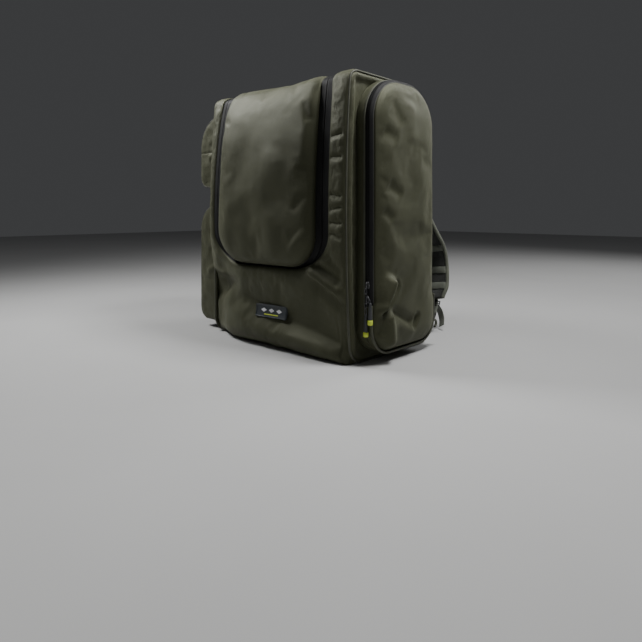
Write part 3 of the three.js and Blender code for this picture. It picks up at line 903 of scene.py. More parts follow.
def wrap_panel(name, q0, q1, node, pad):
    rows = max(8, int((q1 - q0) / 7))
    x, q = np.meshgrid(np.linspace(-SKIN_EDGE, SKIN_EDGE, 70), np.linspace(q0, q1, rows))
    outer = np.minimum(SKIN_EDGE - np.abs(x), np.minimum(q - q0, q1 - q))
    h = -1.2 + crown(outer, pad, 12) + crumple(stack(x, q, 0), 60, 1.6, 5.0) * smooth(outer / 30)
    points = on_wrap(x, q, np.minimum(h, pad))
    sheet(name, points, stack(x, q), PANEL_CLOTH, "pack", "fabric", node)


def build_back_and_base():
    wrap_panel("back_panel_cloth", HINGE_Q + 0.8, BODY.ends[6] + 6, "back_panel", 3.0)
    wrap_panel("base_panel_cloth", BODY.ends[6] + 6.8, BODY.length - 0.5, "base_panel", 1.2)


# ---- pockets ---------------------------------------------------------------------------------------


def rounded_rows(half, low, high, low_radius, high_radius, step):
    """Rows of points (across, up) that fill a rounded rectangle."""
    low_arc = np.linspace(0, math.pi / 2, max(8, int(low_radius * 1.6 / step)))
    high_arc = np.linspace(math.pi / 2, 0, max(8, int(high_radius * 1.6 / step)))
    straight = np.arange(low + low_radius + step, high - high_radius - step / 2, step)
    up = np.concatenate([
        low + low_radius * (1 - np.cos(low_arc)), straight, high - high_radius * (1 - np.cos(high_arc))])
    wide = np.concatenate([
        half - low_radius * (1 - np.sin(low_arc)), half + 0 * straight,
        half - high_radius * (1 - np.sin(high_arc))])
    share = np.linspace(-1, 1, int(2 * half / step) + 1)
    return wide[:, None] * share, up[:, None] + 0 * share


TALL_FOOT_RADIUS, TALL_TOP_RADIUS = 55, 90
POCKET = Outline(TALL[0][1], TALL[0][2], TALL[1][1], TALL[1][2],
                 TALL_FOOT_RADIUS, TALL_TOP_RADIUS, TALL_TOP_RADIUS, TALL_FOOT_RADIUS)
ZIP_HALF = 8  # from the edge of a zip's tape to its middle
GUSSET = TALL_SEAM - ZIP_HALF - SIDE  # how far the pocket stands off before its zip
FACE_OUT = TALL_FACE[0][0] - SIDE
DOME = TALL_FACE[1][0] - TALL_FACE[0][0]


def pocket_front_q(z):
    return POCKET.ends[1] + z - (TALL[0][2] + TALL_FOOT_RADIUS)


def pocket_back_q(z):
    return POCKET.ends[5] + (TALL[1][2] - TALL_TOP_RADIUS) - z


def on_pocket(q, out, inset=0.0):
    y, z, ny, nz = POCKET.at(q)
    return stack(SIDE + out, y - ny * inset, z - nz * inset)


def outward_hint(q, out_share=0.0):
    _, _, ny, nz = POCKET.at(q)
    return stack(out_share, ny, nz)


ZIP_RUN = pocket_front_q(TALL_HINGE), pocket_back_q(TALL_HINGE)
FOOT_RUN = pocket_back_q(TALL_HINGE), POCKET.length + pocket_front_q(TALL_HINGE)


def build_gusset():
    arch = np.sin(math.pi * np.linspace(0, 1, 9))
    stand_off = -0.6 + np.linspace(0, 1, 9) * (GUSSET + 0.9)
    out, q = np.meshgrid(stand_off, np.arange(0, POCKET.length, 5.0))
    inset = 1.6 - 2.0 * arch
    inset = inset + crumple(on_pocket(q, out, inset), 26, 0.8, 6.0) * arch
    sheet("tall_gusset_cloth", on_pocket(q, out, inset), stack(out, q), POCKET_CLOTH, "pack", "fabric",
          "tall_pocket_gusset", flip=True, loop=True)
    arch = np.sin(math.pi * np.linspace(0, 1, 7))
    stand_off = GUSSET + 0.3 + np.linspace(0, 1, 7) * (FACE_OUT - GUSSET)
    out, q = np.meshgrid(stand_off, np.arange(*FOOT_RUN, 4.0))
    sheet("tall_foot_cloth", on_pocket(q, out, 0.8 - 1.2 * arch), stack(out, q), 1.6, "pack", "fabric",
          "tall_pocket_gusset", flip=True)


def build_tall_zip():
    run = np.arange(ZIP_RUN[0] + 0.2, ZIP_RUN[1], 3.0)
    for half, near, far, body in (
        ("outer", GUSSET + 0.4, GUSSET + 7.9, "pack"),
        ("inner", GUSSET + 8.1, FACE_OUT - 0.4, "tall_door"),
    ):
        out, q = np.meshgrid(np.linspace(near, far, 9), run)
        inset = 0.8 + 0.28 * np.maximum(out - GUSSET - 10, 0) ** 1.7
        sheet(f"tall_tape_{half}", on_pocket(q, out, inset), stack(out, q), ZIP_CLOTH, body, "zip_tape",
              f"tall_zip_{half}_half", look=ZIP_TAPE, flip=True)
    for half, shift, phase, body in (("outer", -1.1, 0.0, "pack"), ("inner", 1.1, 0.9, "tall_door")):
        place = run[0] + phase + np.arange(0, run[-1] - run[0] - 3, 1.0)
        path = on_pocket(place, GUSSET + ZIP_HALF + shift, 0.5)
        coil(f"tall_coil_{half}", path, outward_hint(place), body)


FACE_FOLDS = [
    # (start y, z), (end y, z), width, height, on the tall pocket's face
    ((-96, 50), (-93, 120), 11, 4),
    ((-99, 104), (-66, 168), 15, 20),
    ((-50, 156), (-90, 98), 8.5, -19),
    ((-86, 106), (-95, 60), 8, -9),
    ((-80, 102), (-68, 34), 16, 15),
    ((-64, 104), (4, 70), 10, -7),
    ((-58, 84), (14, 50), 15, 4),
    ((10, 58), (25, 86), 7, -6),
    ((-60, 520), (-34, 470), 16, -2.5),
    ((-84, 455), (-50, 440), 14, -3),
    ((-2, 520), (6, 440), 18, 3.0),
    ((-70, 350), (-36, 330), 12, -3),
    ((-86, 300), (-62, 282), 10, -2.5),
    ((-30, 236), (44, 262), 22, -3.5),
    ((60, 200), (84, 420), 16, -2.5),
]


TAPE_TURN = 7.2  # how far the inner half of the zip turns onto the pocket's face


def build_tall_face():
    middle = (TALL[0][1] + TALL[1][1]) / 2
    half = (TALL[1][1] - TALL[0][1]) / 2
    a, z = rounded_rows(half - 0.8, TALL[0][2] + 0.8, TALL[1][2] - TAPE_TURN,
                        TALL_FOOT_RADIUS - 1, TALL_TOP_RADIUS - TAPE_TURN, 4.0)
    above_hinge = smooth((z - TALL_HINGE + 14) / 22)
    y = a * (1 - (TAPE_TURN - 0.8) / half * above_hinge) + middle
    edge = np.maximum(rim_distance(y, z, POCKET) - (TAPE_TURN - 1) * above_hinge, 0)
    out = FACE_OUT - 0.6 + crown(edge, DOME - 1.5, 13) + 1.5 * bump((z - 330) / 330)
    turned_under = 6 * bell(edge / 5) * smooth((TALL_HINGE - 14 - z) / 30)
    out = out - turned_under + creases(FACE_FOLDS, y, z) * smooth(edge / 14)
    flat = stack(SIDE + out, y, z)
    out = out + (crumple(flat, 95, 1.5, 1.0, 2) + crumple(flat, 30, 0.35, 8.0, 2)) * smooth(edge / 22)
    piece = grid("tall_face_cloth", stack(SIDE + out, y, z), CLOTH, stack(y, z))
    press(piece, rim_pins(edge, 9), shrink=-0.004, pressure=0.3)
    thicken(piece, PANEL_CLOTH)
    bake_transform(piece)
    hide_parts("tall_pocket_door", "tall_pocket_lower_face")


CURL_HEIGHT = 50  # where the rear piping ends and the foot's piping curls in
CURL_RADIUS = 9


def build_tall_trim():
    q = np.arange(*ZIP_RUN, 3.0)
    hint = outward_hint(q)
    for name, out, inset, width, look, body in (
        ("tall_gusset_binding", GUSSET - 0.6, -0.2, 5.0, BINDING, "pack"),
        ("tall_face_edge", FACE_OUT - 0.2, TAPE_TURN - 0.6, 2.0, DARK_BINDING, "tall_door"),
    ):
        section = band_section(width, 2.4, 0.5)
        sweep(name, on_pocket(q, out, inset), hint, section, look, "binding", body=body)
    stitches("tall_face_stitches", on_pocket(q, FACE_OUT + 2.4, TAPE_TURN + 3.0), hint, "tall_door")
    q = np.arange(FOOT_RUN[0] + 1, FOOT_RUN[1], 3.0)
    path, hint = on_pocket(q, FACE_OUT + 1.4, -1.0), outward_hint(q, 0.6)
    end = int(np.argmin(np.abs(path[: len(path) // 3, 2] - CURL_HEIGHT)))
    sweep("tall_rear_piping", path[:end], hint[:end], circle(2.0), PIPING, "binding")
    a = np.linspace(4.6, 0.0, 16)[:-1]
    curl = path[end] + stack(0, 1 - np.cos(a), np.sin(a)) * (CURL_RADIUS * 0.85)
    hint = np.concatenate([np.tile([1.0, 0, 0], (len(curl), 1)), hint[end:]])
    path = np.concatenate([curl, path[end:]])
    sweep("tall_foot_piping", path, hint, circle(2.6), BINDING, "binding")


# ---- the left pockets ------------------------------------------------------------------------------

LEFT_FOOT_RADIUS = 30
LEFT_TOP_RADIUS = {"left_upper": 79, "left_lower": 61}
END_FOLDS = [
    # (start), (end), width, height, each point as mm from the pack's side and share of the height
    ((-12, 0.50), (-52, 0.42), 7, 4),
    ((-20, 0.62), (-48, 0.60), 9, -3),
    ((-30, 0.78), (-60, 0.72), 12, -2),
]


class LeftPocket:
    """A pocket whose front, top and door follow an arch that stands out from the pack's left side."""

    def __init__(self, title):
        self.title, self.node = title, f"{title}_pocket"
        self.low, self.high = node_box(f"{self.node}_shell")
        self.seam, self.top = (corner[2] for corner in node_box(f"{self.node}_door"))
        self.front, self.back = self.low[1], self.high[1]
        self.arch = Outline(self.low[0], self.low[2], -SIDE, self.top,
                            LEFT_FOOT_RADIUS, LEFT_TOP_RADIUS[title], 1, 1)
        self.bottom_q = self.low[0] + SIDE + LEFT_FOOT_RADIUS
        self.seam_q = self.arch.ends[1] + self.seam - self.low[2] - LEFT_FOOT_RADIUS
        self.top_q = self.arch.ends[4]

    def at(self, q, y, h):
        x, z, nx, nz = self.arch.at(q)
        return stack(x + nx * h, y, z + nz * h)

    def patch(self, q0, q1, y0, y1, step):
        """Part of the arch as grids of q, y and the distance to the patch's nearest edge."""
        y, q = np.meshgrid(np.linspace(y0, y1, max(3, int((y1 - y0) / step))),
                           np.linspace(q0, q1, max(3, int((q1 - q0) / step))))
        return q, y, np.minimum(np.minimum(q - q0, q1 - q), np.minimum(y - y0, y1 - y))

    def cloth(self, name, area, rise, reach, wrinkles, fade, body, node, fill=None):
        q, y, edge = self.patch(*area, 5.0)
        h = -2.0 + crown(edge, rise, reach) + crumple(stack(q, y, 0), *wrinkles) * smooth(edge / fade)
        sheet(name, self.at(q, y, h), stack(y, q), POCKET_CLOTH, body, "fabric", node, fill=fill,
              pins=rim_pins(edge, 8), cap=4.0)

    def build_cloth(self):
        title, zip_box = self.title, node_box(f"{self.node}_zip_inner_half")
        area = self.bottom_q, self.seam_q - 0.6, self.front + 1, self.back - 1
        self.cloth(f"{title}_lower_cloth", area, 3.2, 7, (40, 1.6, 3.0), 14, "pack", f"{self.node}_shell")
        zip_top = self.top_q - (self.high[0] - zip_box[1][0])
        area = self.seam_q + 0.4, zip_top - 8, self.front + 16.6, self.back - 16.6
        self.cloth(f"{title}_flap_cloth", area, 5.5, 9, (45, 2.0, 7.0), 16, f"{title}_door",
                   f"{self.node}_door", 0.3)

    def build_zip(self):
        halves = ("outer", 0.0, "pack"), ("inner", 8.3, f"{self.title}_door")
        for half, inset, body in halves:
            low_q, high_q = self.seam_q + 0.5, self.top_q - inset - 1
            front, back = self.front + inset, self.back - inset
            for place, area in (
                ("front", (low_q, high_q, front + 0.4, front + 7.9)),
                ("rear", (low_q, high_q, back - 7.9, back - 0.4)),
                ("top", (high_q - 7.4, high_q, front + 8, back - 8)),
            ):
                q, y, _ = self.patch(*area, 3.0)
                sheet(f"{self.title}_{half}_{place}", self.at(q, y, -1.6), stack(y, q), ZIP_CLOTH, body,
                      "zip_tape", f"{self.node}_zip_{half}_half", look=ZIP_TAPE)
        q = np.arange(self.seam_q + 1, self.top_q - 9, 1.0)
        _, _, nx, nz = self.arch.at(q)
        for (half, _, body), shift in zip(halves, (-1.1, 1.1)):
            path = self.at(q, self.front + 8.1 + shift, -1.0)
            coil(f"{self.title}_coil_{half}", path, stack(nx, 0, nz), body)

    def build_end(self, side, y, sign):
        """A flat end, softly bulged, from the arch to the pack's side, with the piping round it."""
        q = np.arange(self.bottom_q, self.top_q + 8, 3.0)
        _, _, nx, nz = self.arch.at(q)
        rim = self.at(q, y + sign * 0.2, -1.4)
        sweep(f"{self.title}_piping_{side}", rim, stack(nx, 0, nz), circle(2.2), PIPING, "binding")
        arch_q = np.linspace(self.arch.ends[0] + 1, self.arch.ends[3] - 1, 90)
        outer_x, _, level = (column[:, None] for column in self.at(arch_q, y, -1.8).T)
        px = outer_x + (-SIDE - 0.3 - outer_x) * np.linspace(0, 1, 26)
        pz = level + 0 * px
        edge = rim_distance(px, pz, self.arch)
        edge = np.where(px > -SIDE - 30, np.maximum(edge, 20), edge)
        bulge = -0.8 + crown(edge, 3.6, 10)
        flat = stack(px, y + sign * bulge, pz)
        bulge = bulge + crumple(flat, 40, 2.6, 5.0, 2) * smooth(edge / 12)
        for *ends, width, height in END_FOLDS:
            a, b = ((u - SIDE, self.low[2] + v * (self.top - self.low[2])) for u, v in ends)
            bulge = bulge + crease(px, pz, a, b, width, height) * smooth(edge / 8)
        bulge = bulge - 1.8 * bell((pz - self.seam) / 2.2)
        points = stack(px, y + sign * bulge, pz)
        sheet(f"{self.title}_end_{side}", points, stack(px, pz), POCKET_CLOTH, "pack", "fabric",
              f"{self.node}_shell", flip=sign < 0)

    def build(self):
        self.build_cloth()
        self.build_zip()
        self.build_end("front", self.front, -1)
        self.build_end("rear", self.back, 1)
        across = np.linspace(self.front + 1, self.back - 1, 60)
        _, _, nx, nz = self.arch.at(self.seam_q)
        path = self.at(self.seam_q - 4, across, 1.2)
        stitches(f"{self.title}_seam_stitches", path, (nx, 0, nz))


# ---- hardware --------------------------------------------------------------------------------------


def placed(points, turn, origin):
    """Points moved to an origin, with their axes turned to the columns of `turn`."""
    return np.asarray(points, float) @ turn.T + np.asarray(origin, float)


def plate(outline, low, high, chamfer=0.4):
    """A flat plate from a closed outline (side, run), with chamfered edges: points and faces."""
    outline = np.asarray(outline, float)
    middle = outline.mean(0)
    inner = middle + (outline - middle) * (1 - chamfer / np.abs(outline - middle).max())
    layers = [(inner, low), (outline, low + chamfer), (outline, high - chamfer), (inner, high)]
    points = np.concatenate([np.column_stack([flat, np.full(len(flat), level)]) for flat, level in layers])
    return points, capped_faces(4, len(outline))


def slider_mesh():
    """A coil-zip slider on the plane out = 0, its nose towards +run, with a bridge for the pull."""
    half = [(3.0, -6.6), (3.6, -3.0), (4.3, 2.0), (4.0, 5.0), (2.4, 6.9)]
    shield = [(-3.0, -6.6), *half, *((-u, v) for u, v in half[:0:-1])]
    base = plate(shield, 0.0, 1.7, 0.5)
    flange = [(3.2, -6.0), (4.2, -6.0), (4.5, 2.0), (3.4, 2.0)]
    flanges = [plate([(s * u, v) for u, v in flange][::s], -0.6, 0.9, 0.2) for s in (1, -1)]
    arch = [(-4.6, 1.2), (-4.2, 3.0), (-2.6, 4.1), (0.4, 4.3), (3.0, 4.0), (4.6, 2.8), (5.0, 1.2)]
    bridge = tube(spline([(0, v, w) for v, w in arch], 24), 0.95, (1, 0, 0), 8)
    return merged([base, *flanges, bridge])


def wire_loop(width, length):
    """A closed rounded loop hanging down from the origin: (side, down)."""
    a = np.linspace(0, 2 * math.pi, 28, endpoint=False)
    return np.sign(np.sin(a)) * np.abs(np.sin(a)) ** 0.75 * width / 2, length / 2 * (1 - np.cos(a))


def build_slider(title, position, run, out, body, node):
    turn = np.stack([np.cross(run, out), run, out], 1).astype(float)
    points, faces = slider_mesh()
    piece = make_object(title, placed(points, turn, position), faces, METAL, smooth_faces=False)
    piece.modifiers.new("soft", "BEVEL").width = 0.15 * MM
    fit(bake(piece), body, "slider_metal", node)


SLEEVE_LENGTH, TIP_LENGTH = 33, 10
# (place along the grip, radius)
SLEEVE_PROFILE = [(0, 1.4), (0.6, 2.3), (2, 2.9), (4.5, 3.1), (8, 3.3), (20, 4.0), (28, 4.3),
                  (31, 4.4), (32.4, 4.3), (33, 4.0)]
TIP_PROFILE = [(0, 4.0), (0.5, 4.9), (1.4, 5.3), (2.4, 5.35), (7.2, 5.3), (8.8, 4.9), (9.6, 4.0), (10, 2.2)]


def build_pull(title, pivot, down, out, tab, aside, body, *nodes):
    """A wire bail, a cord link, a ribbed sleeve and a lime tip, hanging along `down` from the pivot."""
    turn = np.stack([np.cross(down, out), down, out], 1).astype(float)

    def wire(side, run, rise, radius):
        path = placed(stack(side, run, rise), turn, pivot)
        return swept(path, out, circle(radius, 8), closed=True)

    def turned(name, start, run, radius, count, look, slot, *nodes):
        mesh = tube(placed(stack(aside, start + run, 0), turn, pivot), radius, out, count)
        fit(make_object(name, *mesh, look), body, slot, *nodes)

    side, run = wire_loop(5.2, 10.5)
    bail = wire(side, run - 1.5, 0, 0.75)
    side, run = wire_loop(4.4, tab - 5.5)
    link = wire(side + smooth((run - 1) / (tab - 8)) * aside, run + 6.5, 0.6, 0.7)
    fit(make_object(f"{title}_bail", *merged([bail, link]), METAL), body, "slider_metal")
    run = np.arange(0, SLEEVE_LENGTH + 0.01, 0.55)
    ribbing = 0.22 * (np.sin(run * 2 * math.pi / 2.75) > 0.2) * (run > 6) * (run < 29)
    radius = np.interp(run, *zip(*SLEEVE_PROFILE)) - ribbing
    turned(f"{title}_sleeve", tab - 0.5, run, radius, 20, GRIP, "puller_grip", nodes[0])
    run = np.linspace(0, TIP_LENGTH, 26)
    radius = np.interp(run, *zip(*TIP_PROFILE))
    turned(f"{title}_tip", tab + SLEEVE_LENGTH - 0.4, run, radius, 24, LIME, "puller_tip", *nodes[1:])


PIVOT_Y = -117.5  # of the tall pocket's pulls


def build_hardware():
    down, left, front, back, up = (0, 0, -1), (-1, 0, 0), (0, -1, 0), (0, 1, 0), (0, 0, 1)
    for which, tab, aside in (("upper", 25, -10.5), ("lower", 21, 0)):
        low, high = node_box(f"tall_slider_{which}")
        x, _, z = (low + high) / 2
        build_slider(f"tall_{which}_slider_body", (x, high[1], z), up, front,
                     f"tall_{which}_slider", f"tall_slider_{which}")
        pivot = (x, PIVOT_Y, node_box(f"tall_pull_{which}")[1][2])
        build_pull(f"tall_{which}_puller", pivot, down, front, tab, aside, f"tall_{which}_pull",
                   f"tall_pull_{which}", f"tall_pull_tip_{which}")
    for which, run, nose in (("front", front, back), ("rear", back, front)):
        low, high = node_box(f"lid_slider_{which}")
        x, y, _ = (low + high) / 2
        build_slider(f"lid_{which}_slider_body", (x, y, low[2]), nose, up,
                     f"lid_{which}_slider", f"lid_slider_{which}")
        low, high = node_box(f"lid_pull_{which}")
        pivot = (x, high[1] if which == "front" else low[1], (low[2] + high[2]) / 2)
        build_pull(f"lid_{which}_puller", pivot, run, up, 18, 0, f"lid_{which}_pull",
                   f"lid_pull_{which}", f"lid_pull_tip_{which}")
    for part in ("upper", "lower"):
        low, high = node_box(f"left_{part}_pocket_slider")
        _, y, z = (low + high) / 2
        build_slider(f"left_{part}_slider_body", (high[0], y, z), up, left,
                     f"left_{part}_slider", f"left_{part}_pocket_slider")
        low, high = node_box(f"left_{part}_pocket_pull")
        build_pull(f"left_{part}_puller", ((low[0] + high[0]) / 2, y, high[2]), down, left, 16, 0,
                   f"left_{part}_pull", f"left_{part}_pocket_pull")


# ---- the label -------------------------------------------------------------------------------------


def build_label():
    """A moulded patch with a raised rim and a plain generic pattern, following the bulged panel."""
    centre = (LABEL[0] + LABEL[1]) / 2
    half_u, half_v = (LABEL[1][0] - LABEL[0][0]) / 2, (LABEL[1][2] - LABEL[0][2]) / 2
    skin = bpy.data.objects["front_panel_cloth"]

    def skin_y(u, v):
        start = Vector((centre[0] + u * half_u, -600, centre[2] + v * half_v)) * MM
        return skin.ray_cast(start, Vector((0, 1, 0)))[1].y / MM

    def terms(u, v):
        return np.stack([np.ones_like(u), u, v, u * u, v * v], 1)

    us, vs = (values.ravel() for values in np.meshgrid(np.linspace(-1, 1, 9), np.linspace(-1, 1, 5)))
    ys = np.array([skin_y(u, v) for u, v in zip(us, vs)])
    curve, *_ = np.linalg.lstsq(terms(us, vs), ys, rcond=None)
    curve[0] += (ys - terms(us, vs) @ curve).min() * 0.8

    def on_front(points):
        """Points (across, up, out) of the patch in the pack's frame."""
        across, up, out = points.T
        y = terms(across / half_u, up / half_v) @ curve
        return np.stack([across + centre[0], y - out + 0.2, up + centre[2]], 1)

    def raised(name, outline, look):
        points, faces = plate(np.array(outline), 1.2, 1.9, 0.2)
        piece = make_object(name, on_front(points), faces, look, smooth_faces=False)
        fit(piece, "pack", "label_rubber")

    across, up = rounded_rows(half_u, -half_v, half_v, 4, 4, 2.5)
    flat = stack(across, up, 1.5 - 0.5 * bump((half_u - np.abs(across)) / 2))
    points = on_front(flat.reshape(-1, 3)).reshape(flat.shape)
    sheet("label_base", points, None, 1.5, "pack", "label_rubber", "label_patch", look=RUBBER)
    angles = np.concatenate([np.linspace(start, start + 90, 9) for start in (0, 90, 180, 270)])
    turn = np.radians(angles)
    corner = np.repeat([(1, 1), (-1, 1), (-1, -1), (1, -1)], 9, axis=0) * (half_u - 4.5, half_v - 4.5)
    ring = stack(corner[:, 0] + 3 * np.cos(turn), corner[:, 1] + 3 * np.sin(turn), 1.7)
    points, faces = swept(ring, (0, 0, 1), circle(0.6, 8), closed=True)
    fit(make_object("label_rim", on_front(points), faces, RUBBER), "pack", "label_rubber")
    for k, u in enumerate((-22, 0, 22)):
        diamond = [(u - 8, 1.5), (u, -3.0), (u + 8, 1.5), (u, 6.0)]
        raised(f"label_lozenge_{k}", diamond, WHITE)
    raised("label_line", [(-20, -8.2), (20, -8.2), (20, -6.4), (-20, -6.4)], LIME)


# ---- harness ---------------------------------------------------------------------------------------

# points (x, y, z) of the right side's straps, from the top down; the left side mirrors them
STRAP_ROUTE = [(84, 141, 500), (96, 156, 455), (112, 182, 390), (130, 208, 320), (144, 243, 252),
               (152, 273, 205), (156, 281, 160), (160, 276, 115), (165, 262, 78)]
WEB_ROUTE = [(167, 252, 58), (172, 232, 36), (178, 204, 18), (184, 172, 10), (189, 140, 12)]
TAIL_ROUTE = [(169, 262, 62), (174, 270, 46), (181, 268, 28), (186, 259, 12)]
LOOP_ROUTE = [(158, 268, 84), (166, 258, 62), (170, 240, 42)]
CROSS_BARS = [478, 420, 365, 310, 268, 205, 149, 108]
STRAP_WIDTH = 66
STRAP_THICK = 12


def cushion_section(width, thickness, edge=2.6):
    """A padded strap's section: thin bound edges and a full middle."""
    rim, middle = np.linspace(0.4, 0.5, 4), np.linspace(-0.38, 0.38, 15)
    side = np.concatenate([-rim[::-1], middle, rim])
    full = edge / 2 + (thickness - edge) / 2 * (1 - np.abs(side * 2) ** 5) ** 0.8
    top = np.stack([full, side * width], 1)
    low = np.stack([-full, side * width], 1)[::-1]
    return np.concatenate([top, low])


def mirrored(route, sign):
    return [(x * sign, y, z) for x, y, z in route]


def build_strap(which, sign):
    path = spline(mirrored(STRAP_ROUTE, sign), 120)
    hint = np.array([0.0, 1.0, 0.25])
    _, outward, sideways = frames_along(path, hint)
    z = path[:, 2]
    channel = np.ones(len(path))
    for level in CROSS_BARS:
        channel *= 1 - 0.3 * bell((z - level) / 7)
    narrow = 1 - 0.3 * smooth((CROSS_BARS[-1] - z) / 34)
    scale = np.stack([channel, narrow], 1)[:, None]
    cushion = cushion_section(STRAP_WIDTH, STRAP_THICK) * scale
    sweep(f"strap_pad_{which}", path, hint, cushion, MESH, "fabric", f"shoulder_strap_{which}", fill=0.6)
    cover = np.array([(0.6, -0.485), (0.9, -0.3), (1.0, 0), (0.9, 0.3), (0.6, 0.485),
                      (0.3, 0.485), (0.3, 0), (0.3, -0.485)]) * (STRAP_THICK / 2 + 1.2, STRAP_WIDTH)
    sweep(f"strap_cover_{which}", path + outward * 0.5, hint, cover * scale, CLOTH, "fabric")
    for side in (-1, 1):
        edge = path + sideways * (side * STRAP_WIDTH / 2 * narrow)[:, None]
        sweep(f"strap_edge_{which}_{side + 1}", edge, sideways * side, band_section(9.5, 8.0, 0.5),
              STRAP_BINDING, "binding")
    u = np.linspace(-0.5, 0.5, 15)[:, None]
    for k, level in enumerate(CROSS_BARS):
        i = int(np.argmin(np.abs(z - level)))
        across = path[i] + sideways[i] * u * (STRAP_WIDTH * narrow[i] - 4)
        rise = STRAP_THICK / 2 * channel[i] + 1.2
        for face, height, gap in (("out", rise, 0.6), ("in", -rise - 0.8, -0.6)):
            line = across + outward[i] * (height * (1 - np.abs(2 * u) ** 6 * 0.55) + gap)
            sweep(f"strap_bar_{face}_{which}_{k}", line, outward[i], band_section(17, 1.8),
                  WEBBING_PALE, "webbing")
    chain = path + outward * (STRAP_THICK / 2 * channel + 1.8)[:, None]
    sweep(f"strap_webbing_{which}", chain[6:], hint, band_section(22, 1.8), WEBBING, "webbing")


def build_ladder_lock(which):
    """A moulded buckle: three bars between two side rails, tilted with the webbing."""
    low, high = node_box(f"ladder_lock_{which}")
    bars = [([(-15.5, 0, v), (-8, 0, v), (8, 0, v), (15.5, 0, v)], radius)
            for v, radius in ((-5.3, 1.265), (0.0, 1.15), (5.3, 1.38))]
    rails = [([(u, 0, -6.4), (u, 0, -2), (u, 0, 2), (u, 0, 6.6)], [1.2, 1.5, 1.5, 1.2])
             for u in (-15.4, 15.4)]
    points, faces = merged([tube(path, radius, (0, 1, 0)) for path, radius in bars + rails])
    turn = np.array(Matrix.Rotation(-0.5, 3, "X"))
    piece = make_object(f"ladder_{which}", placed(points, turn, (low + high) / 2), faces, PLASTIC)
    fit(piece, "pack", "moulded_plastic", f"ladder_lock_{which}")


def build_anchor(which):
    """The triangle of cloth at the base that the lower webbing is sewn to."""
    low, high = node_box(f"strap_anchor_{which}")
    inner, outer = sorted((low[0], high[0]), key=abs)
    corners = np.array([(inner, low[2]), (outer, low[2]), (outer, high[2])])
    t = np.linspace(0.06, 0.94, 10)[:, None]
    wing = np.concatenate([a + (b - a) * t for a, b in zip(corners, np.roll(corners, -1, axis=0))])
    points, faces = plate(wing, 0, 3.2, 0.8)
    turned = np.stack([points[:, 0], low[1] + points[:, 2], points[:, 1]], 1)
    piece = make_object(f"anchor_wing_{which}", turned, faces, CLOTH, turned[:, [0, 2]])
    fit(piece, "pack", "fabric", f"strap_anchor_{which}")


def build_lower_webbing(which, sign):
    def band(name, route, count, hint, width, thickness, look, *nodes):
        path, section = spline(mirrored(route, sign), count), band_section(width, thickness)
        sweep(f"{name}_{which}", path, hint, section, look, "webbing", *nodes)

    band("adjuster_webbing", WEB_ROUTE, 60, (0, 0.5, -1), 24, 1.9, WEBBING, f"lower_webbing_{which}")
    build_ladder_lock(which)
    band("webbing_tail", TAIL_ROUTE, 30, (0.3 * sign, 1, 0.2), 22, 1.7, WEBBING_PALE)
    band("webbing_loop", LOOP_ROUTE, 24, (0, 1, 0.4), 26, 1.7, WEBBING_PALE)
    build_anchor(which)


PAD_RADIUS = 22
PAD_CHANNELS = 275, 355  # heights of the lines that the back pads are sewn down along


def build_pad(title, node, channels=()):
    """A foam pad behind spacer mesh, sewn down along its channels."""
    low, high = node_box(node)
    half, middle, deep = (high[0] - low[0]) / 2, (high[0] + low[0]) / 2, high[1] - low[1]
    a, z = rounded_rows(half - 1, low[2] + 1, high[2] - 1, PAD_RADIUS, PAD_RADIUS, 4.0)
    outline = Outline(-half, low[2], half, high[2], *[PAD_RADIUS] * 4)
    edge = rim_distance(a, z, outline)
    out = 1.0 + crown(edge, deep - 1.5, 10)
    for level in channels:
        out = out - deep * 0.55 * bell((z - level) / 5) * smooth(edge / 8)
    sheet(title, stack(a + middle, low[1] + out, z), stack(a, z), PANEL_CLOTH, "pack", "spacer_mesh",
          node, look=MESH, flip=True, fill=0.7,
          pins=rim_pins(edge, 6), shrink=-0.01, pressure=0.8, frames=12, cap=3.0)
    u, v, nu, nv = outline.at(np.arange(0, outline.length, 4.0))
    rim = stack(u + middle - nu * 2, low[1] + 1.6, v - nv * 2)
    sweep(f"{title}_binding", rim, stack(nu, 0, nv), band_section(3.4, 5.0, 0.5), BINDING, "binding",
          closed=True)


YOKE_HALF, YOKE_LOW, YOKE_HIGH, YOKE_RADIUS = 132, 484, 520, 8
STRAP_ROOT, STRAP_RISE = 86, 11  # how far aside a strap goes under the yoke, and how far it lifts it


def build_yoke():
    """The reinforcing band on the back that the tops of the straps and the haul loop are sewn under."""

    def over_strap(x, z):
        return STRAP_RISE * bump((np.abs(x) - STRAP_ROOT) / 58) * smooth((YOKE_HIGH - 8 - z) / 14)

    a, z = rounded_rows(YOKE_HALF, YOKE_LOW, YOKE_HIGH, YOKE_RADIUS, YOKE_RADIUS, 4.0)
    outline = Outline(-YOKE_HALF, YOKE_LOW, YOKE_HALF, YOKE_HIGH, *[YOKE_RADIUS] * 4)
    edge = rim_distance(a, z, outline)
    out = 2.4 + crown(edge, 1.2, 3) + over_strap(a, z) * smooth(edge / 10)
    points = stack(a, BODY.at(back_q(z))[0] + out, z)
    sheet("strap_yoke", points, stack(a, z), POCKET_CLOTH, "pack", "fabric", flip=True)
    u, v, nu, nv = outline.at(np.arange(0, outline.length, 2.0))
    u, v = u - nu * 3, v - nv * 3
    line = stack(u, BODY.at(back_q(v))[0] + 3.4 + over_strap(u, v) * 0.1, v)
    stitches("strap_yoke_stitches", line, (0, 1, 0))


HAUL_Y, HAUL_Z = 136, 532  # of the haul loop's roots
HAUL_HALF, HAUL_REACH, HAUL_DROP = 38, 19, 50  # sideways, backwards and down from them


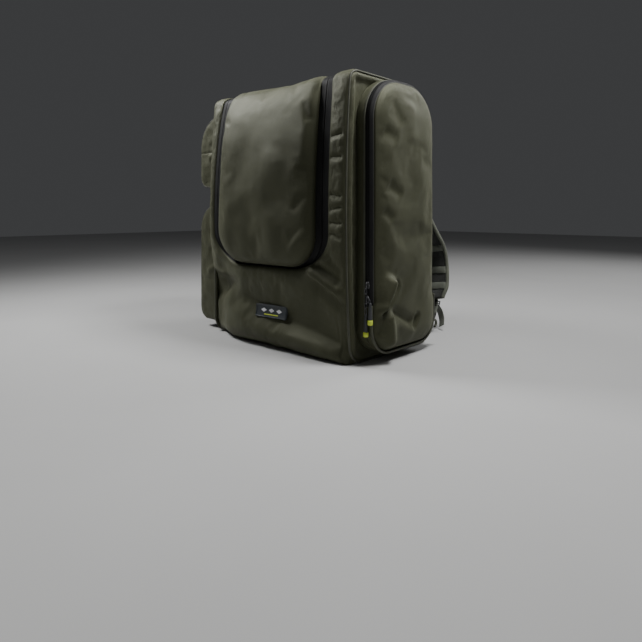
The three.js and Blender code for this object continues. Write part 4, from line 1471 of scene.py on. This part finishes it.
def build_haul_handle():
    """The webbing loop at the top of the back, hanging down from its two roots."""
    a = np.linspace(0, math.pi, 24)
    path = spline(stack(HAUL_HALF * np.cos(a), HAUL_Y + HAUL_REACH * np.sin(a),
                        HAUL_Z - HAUL_DROP * np.sin(a) ** 0.8), 120)
    hint = path - (0, HAUL_Y + 14, HAUL_Z + 13)
    sweep("haul_loop_webbing", path, hint, band_section(8, 6, 0.5), WEBBING, "webbing", "haul_handle",
          body="handle")


def build_harness():
    for which, sign in SIDES:
        build_strap(which, sign)
        build_lower_webbing(which, sign)
    for which, _ in SIDES:
        build_pad(f"back_cushion_{which}", f"back_pad_{which}", PAD_CHANNELS)
    build_pad("lumbar_cushion", "lumbar_pad")
    build_haul_handle()
    build_yoke()


def build_boards():
    for node in ("base_board", "back_frame_sheet"):
        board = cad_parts[node]
        board.data.materials.clear()
        board.data.materials.append(BOARD)


# ---- stage -----------------------------------------------------------------------------------------


def build_stage():
    bpy.ops.mesh.primitive_plane_add(size=12, location=(0, 0, 0))
    floor = bpy.context.object
    floor.name = "floor"
    n = Nodes("pale_floor")
    floor_color = n.mix(n.noise(3, 4), rgb(0.43, 0.43, 0.425), rgb(0.48, 0.48, 0.475))
    floor.data.materials.append(n.finish(floor_color, 0.85))
    world = bpy.data.worlds.new("studio")
    world.use_nodes = True
    world.node_tree.nodes["Background"].inputs[0].default_value = rgb(0.9, 0.92, 0.95)
    world.node_tree.nodes["Background"].inputs[1].default_value = 0.055
    bpy.context.scene.world = world
    for name, place, size, power in (
        ("key", (-0.82, -0.5, 1.22), 0.45, 19),
        ("right", (0.6, 0.05, 1.35), 0.35, 18),
        ("front", (0.9, -2.8, 1.9), 1.2, 2),
        ("rim", (0.6, 2.2, 1.7), 1.0, 24),
    ):
        data = bpy.data.lights.new(name, "AREA")
        data.size, data.energy = size, power
        lamp = bpy.data.objects.new(name, data)
        lamp.location = place
        aim = Vector((0, 0, 0.28)) - lamp.location
        lamp.rotation_euler = aim.to_track_quat("-Z", "Y").to_euler()
        bpy.context.scene.collection.objects.link(lamp)


build_front_skin()
build_lid_zip()
build_lid()
build_lid_hinge()
for side_name, side_sign in SIDES:
    build_side(f"{side_name}_side_cloth", side_sign, f"{side_name}_side_panel")
for side_name, side_sign in SIDES:
    build_body_piping(f"{side_name}_piping", side_sign, f"{side_name}_side_piping")
build_back_and_base()
build_gusset()
build_tall_zip()
build_tall_face()
build_tall_trim()
LeftPocket("left_upper").build()
LeftPocket("left_lower").build()
build_hardware()
build_label()
build_harness()
build_boards()
build_stage()
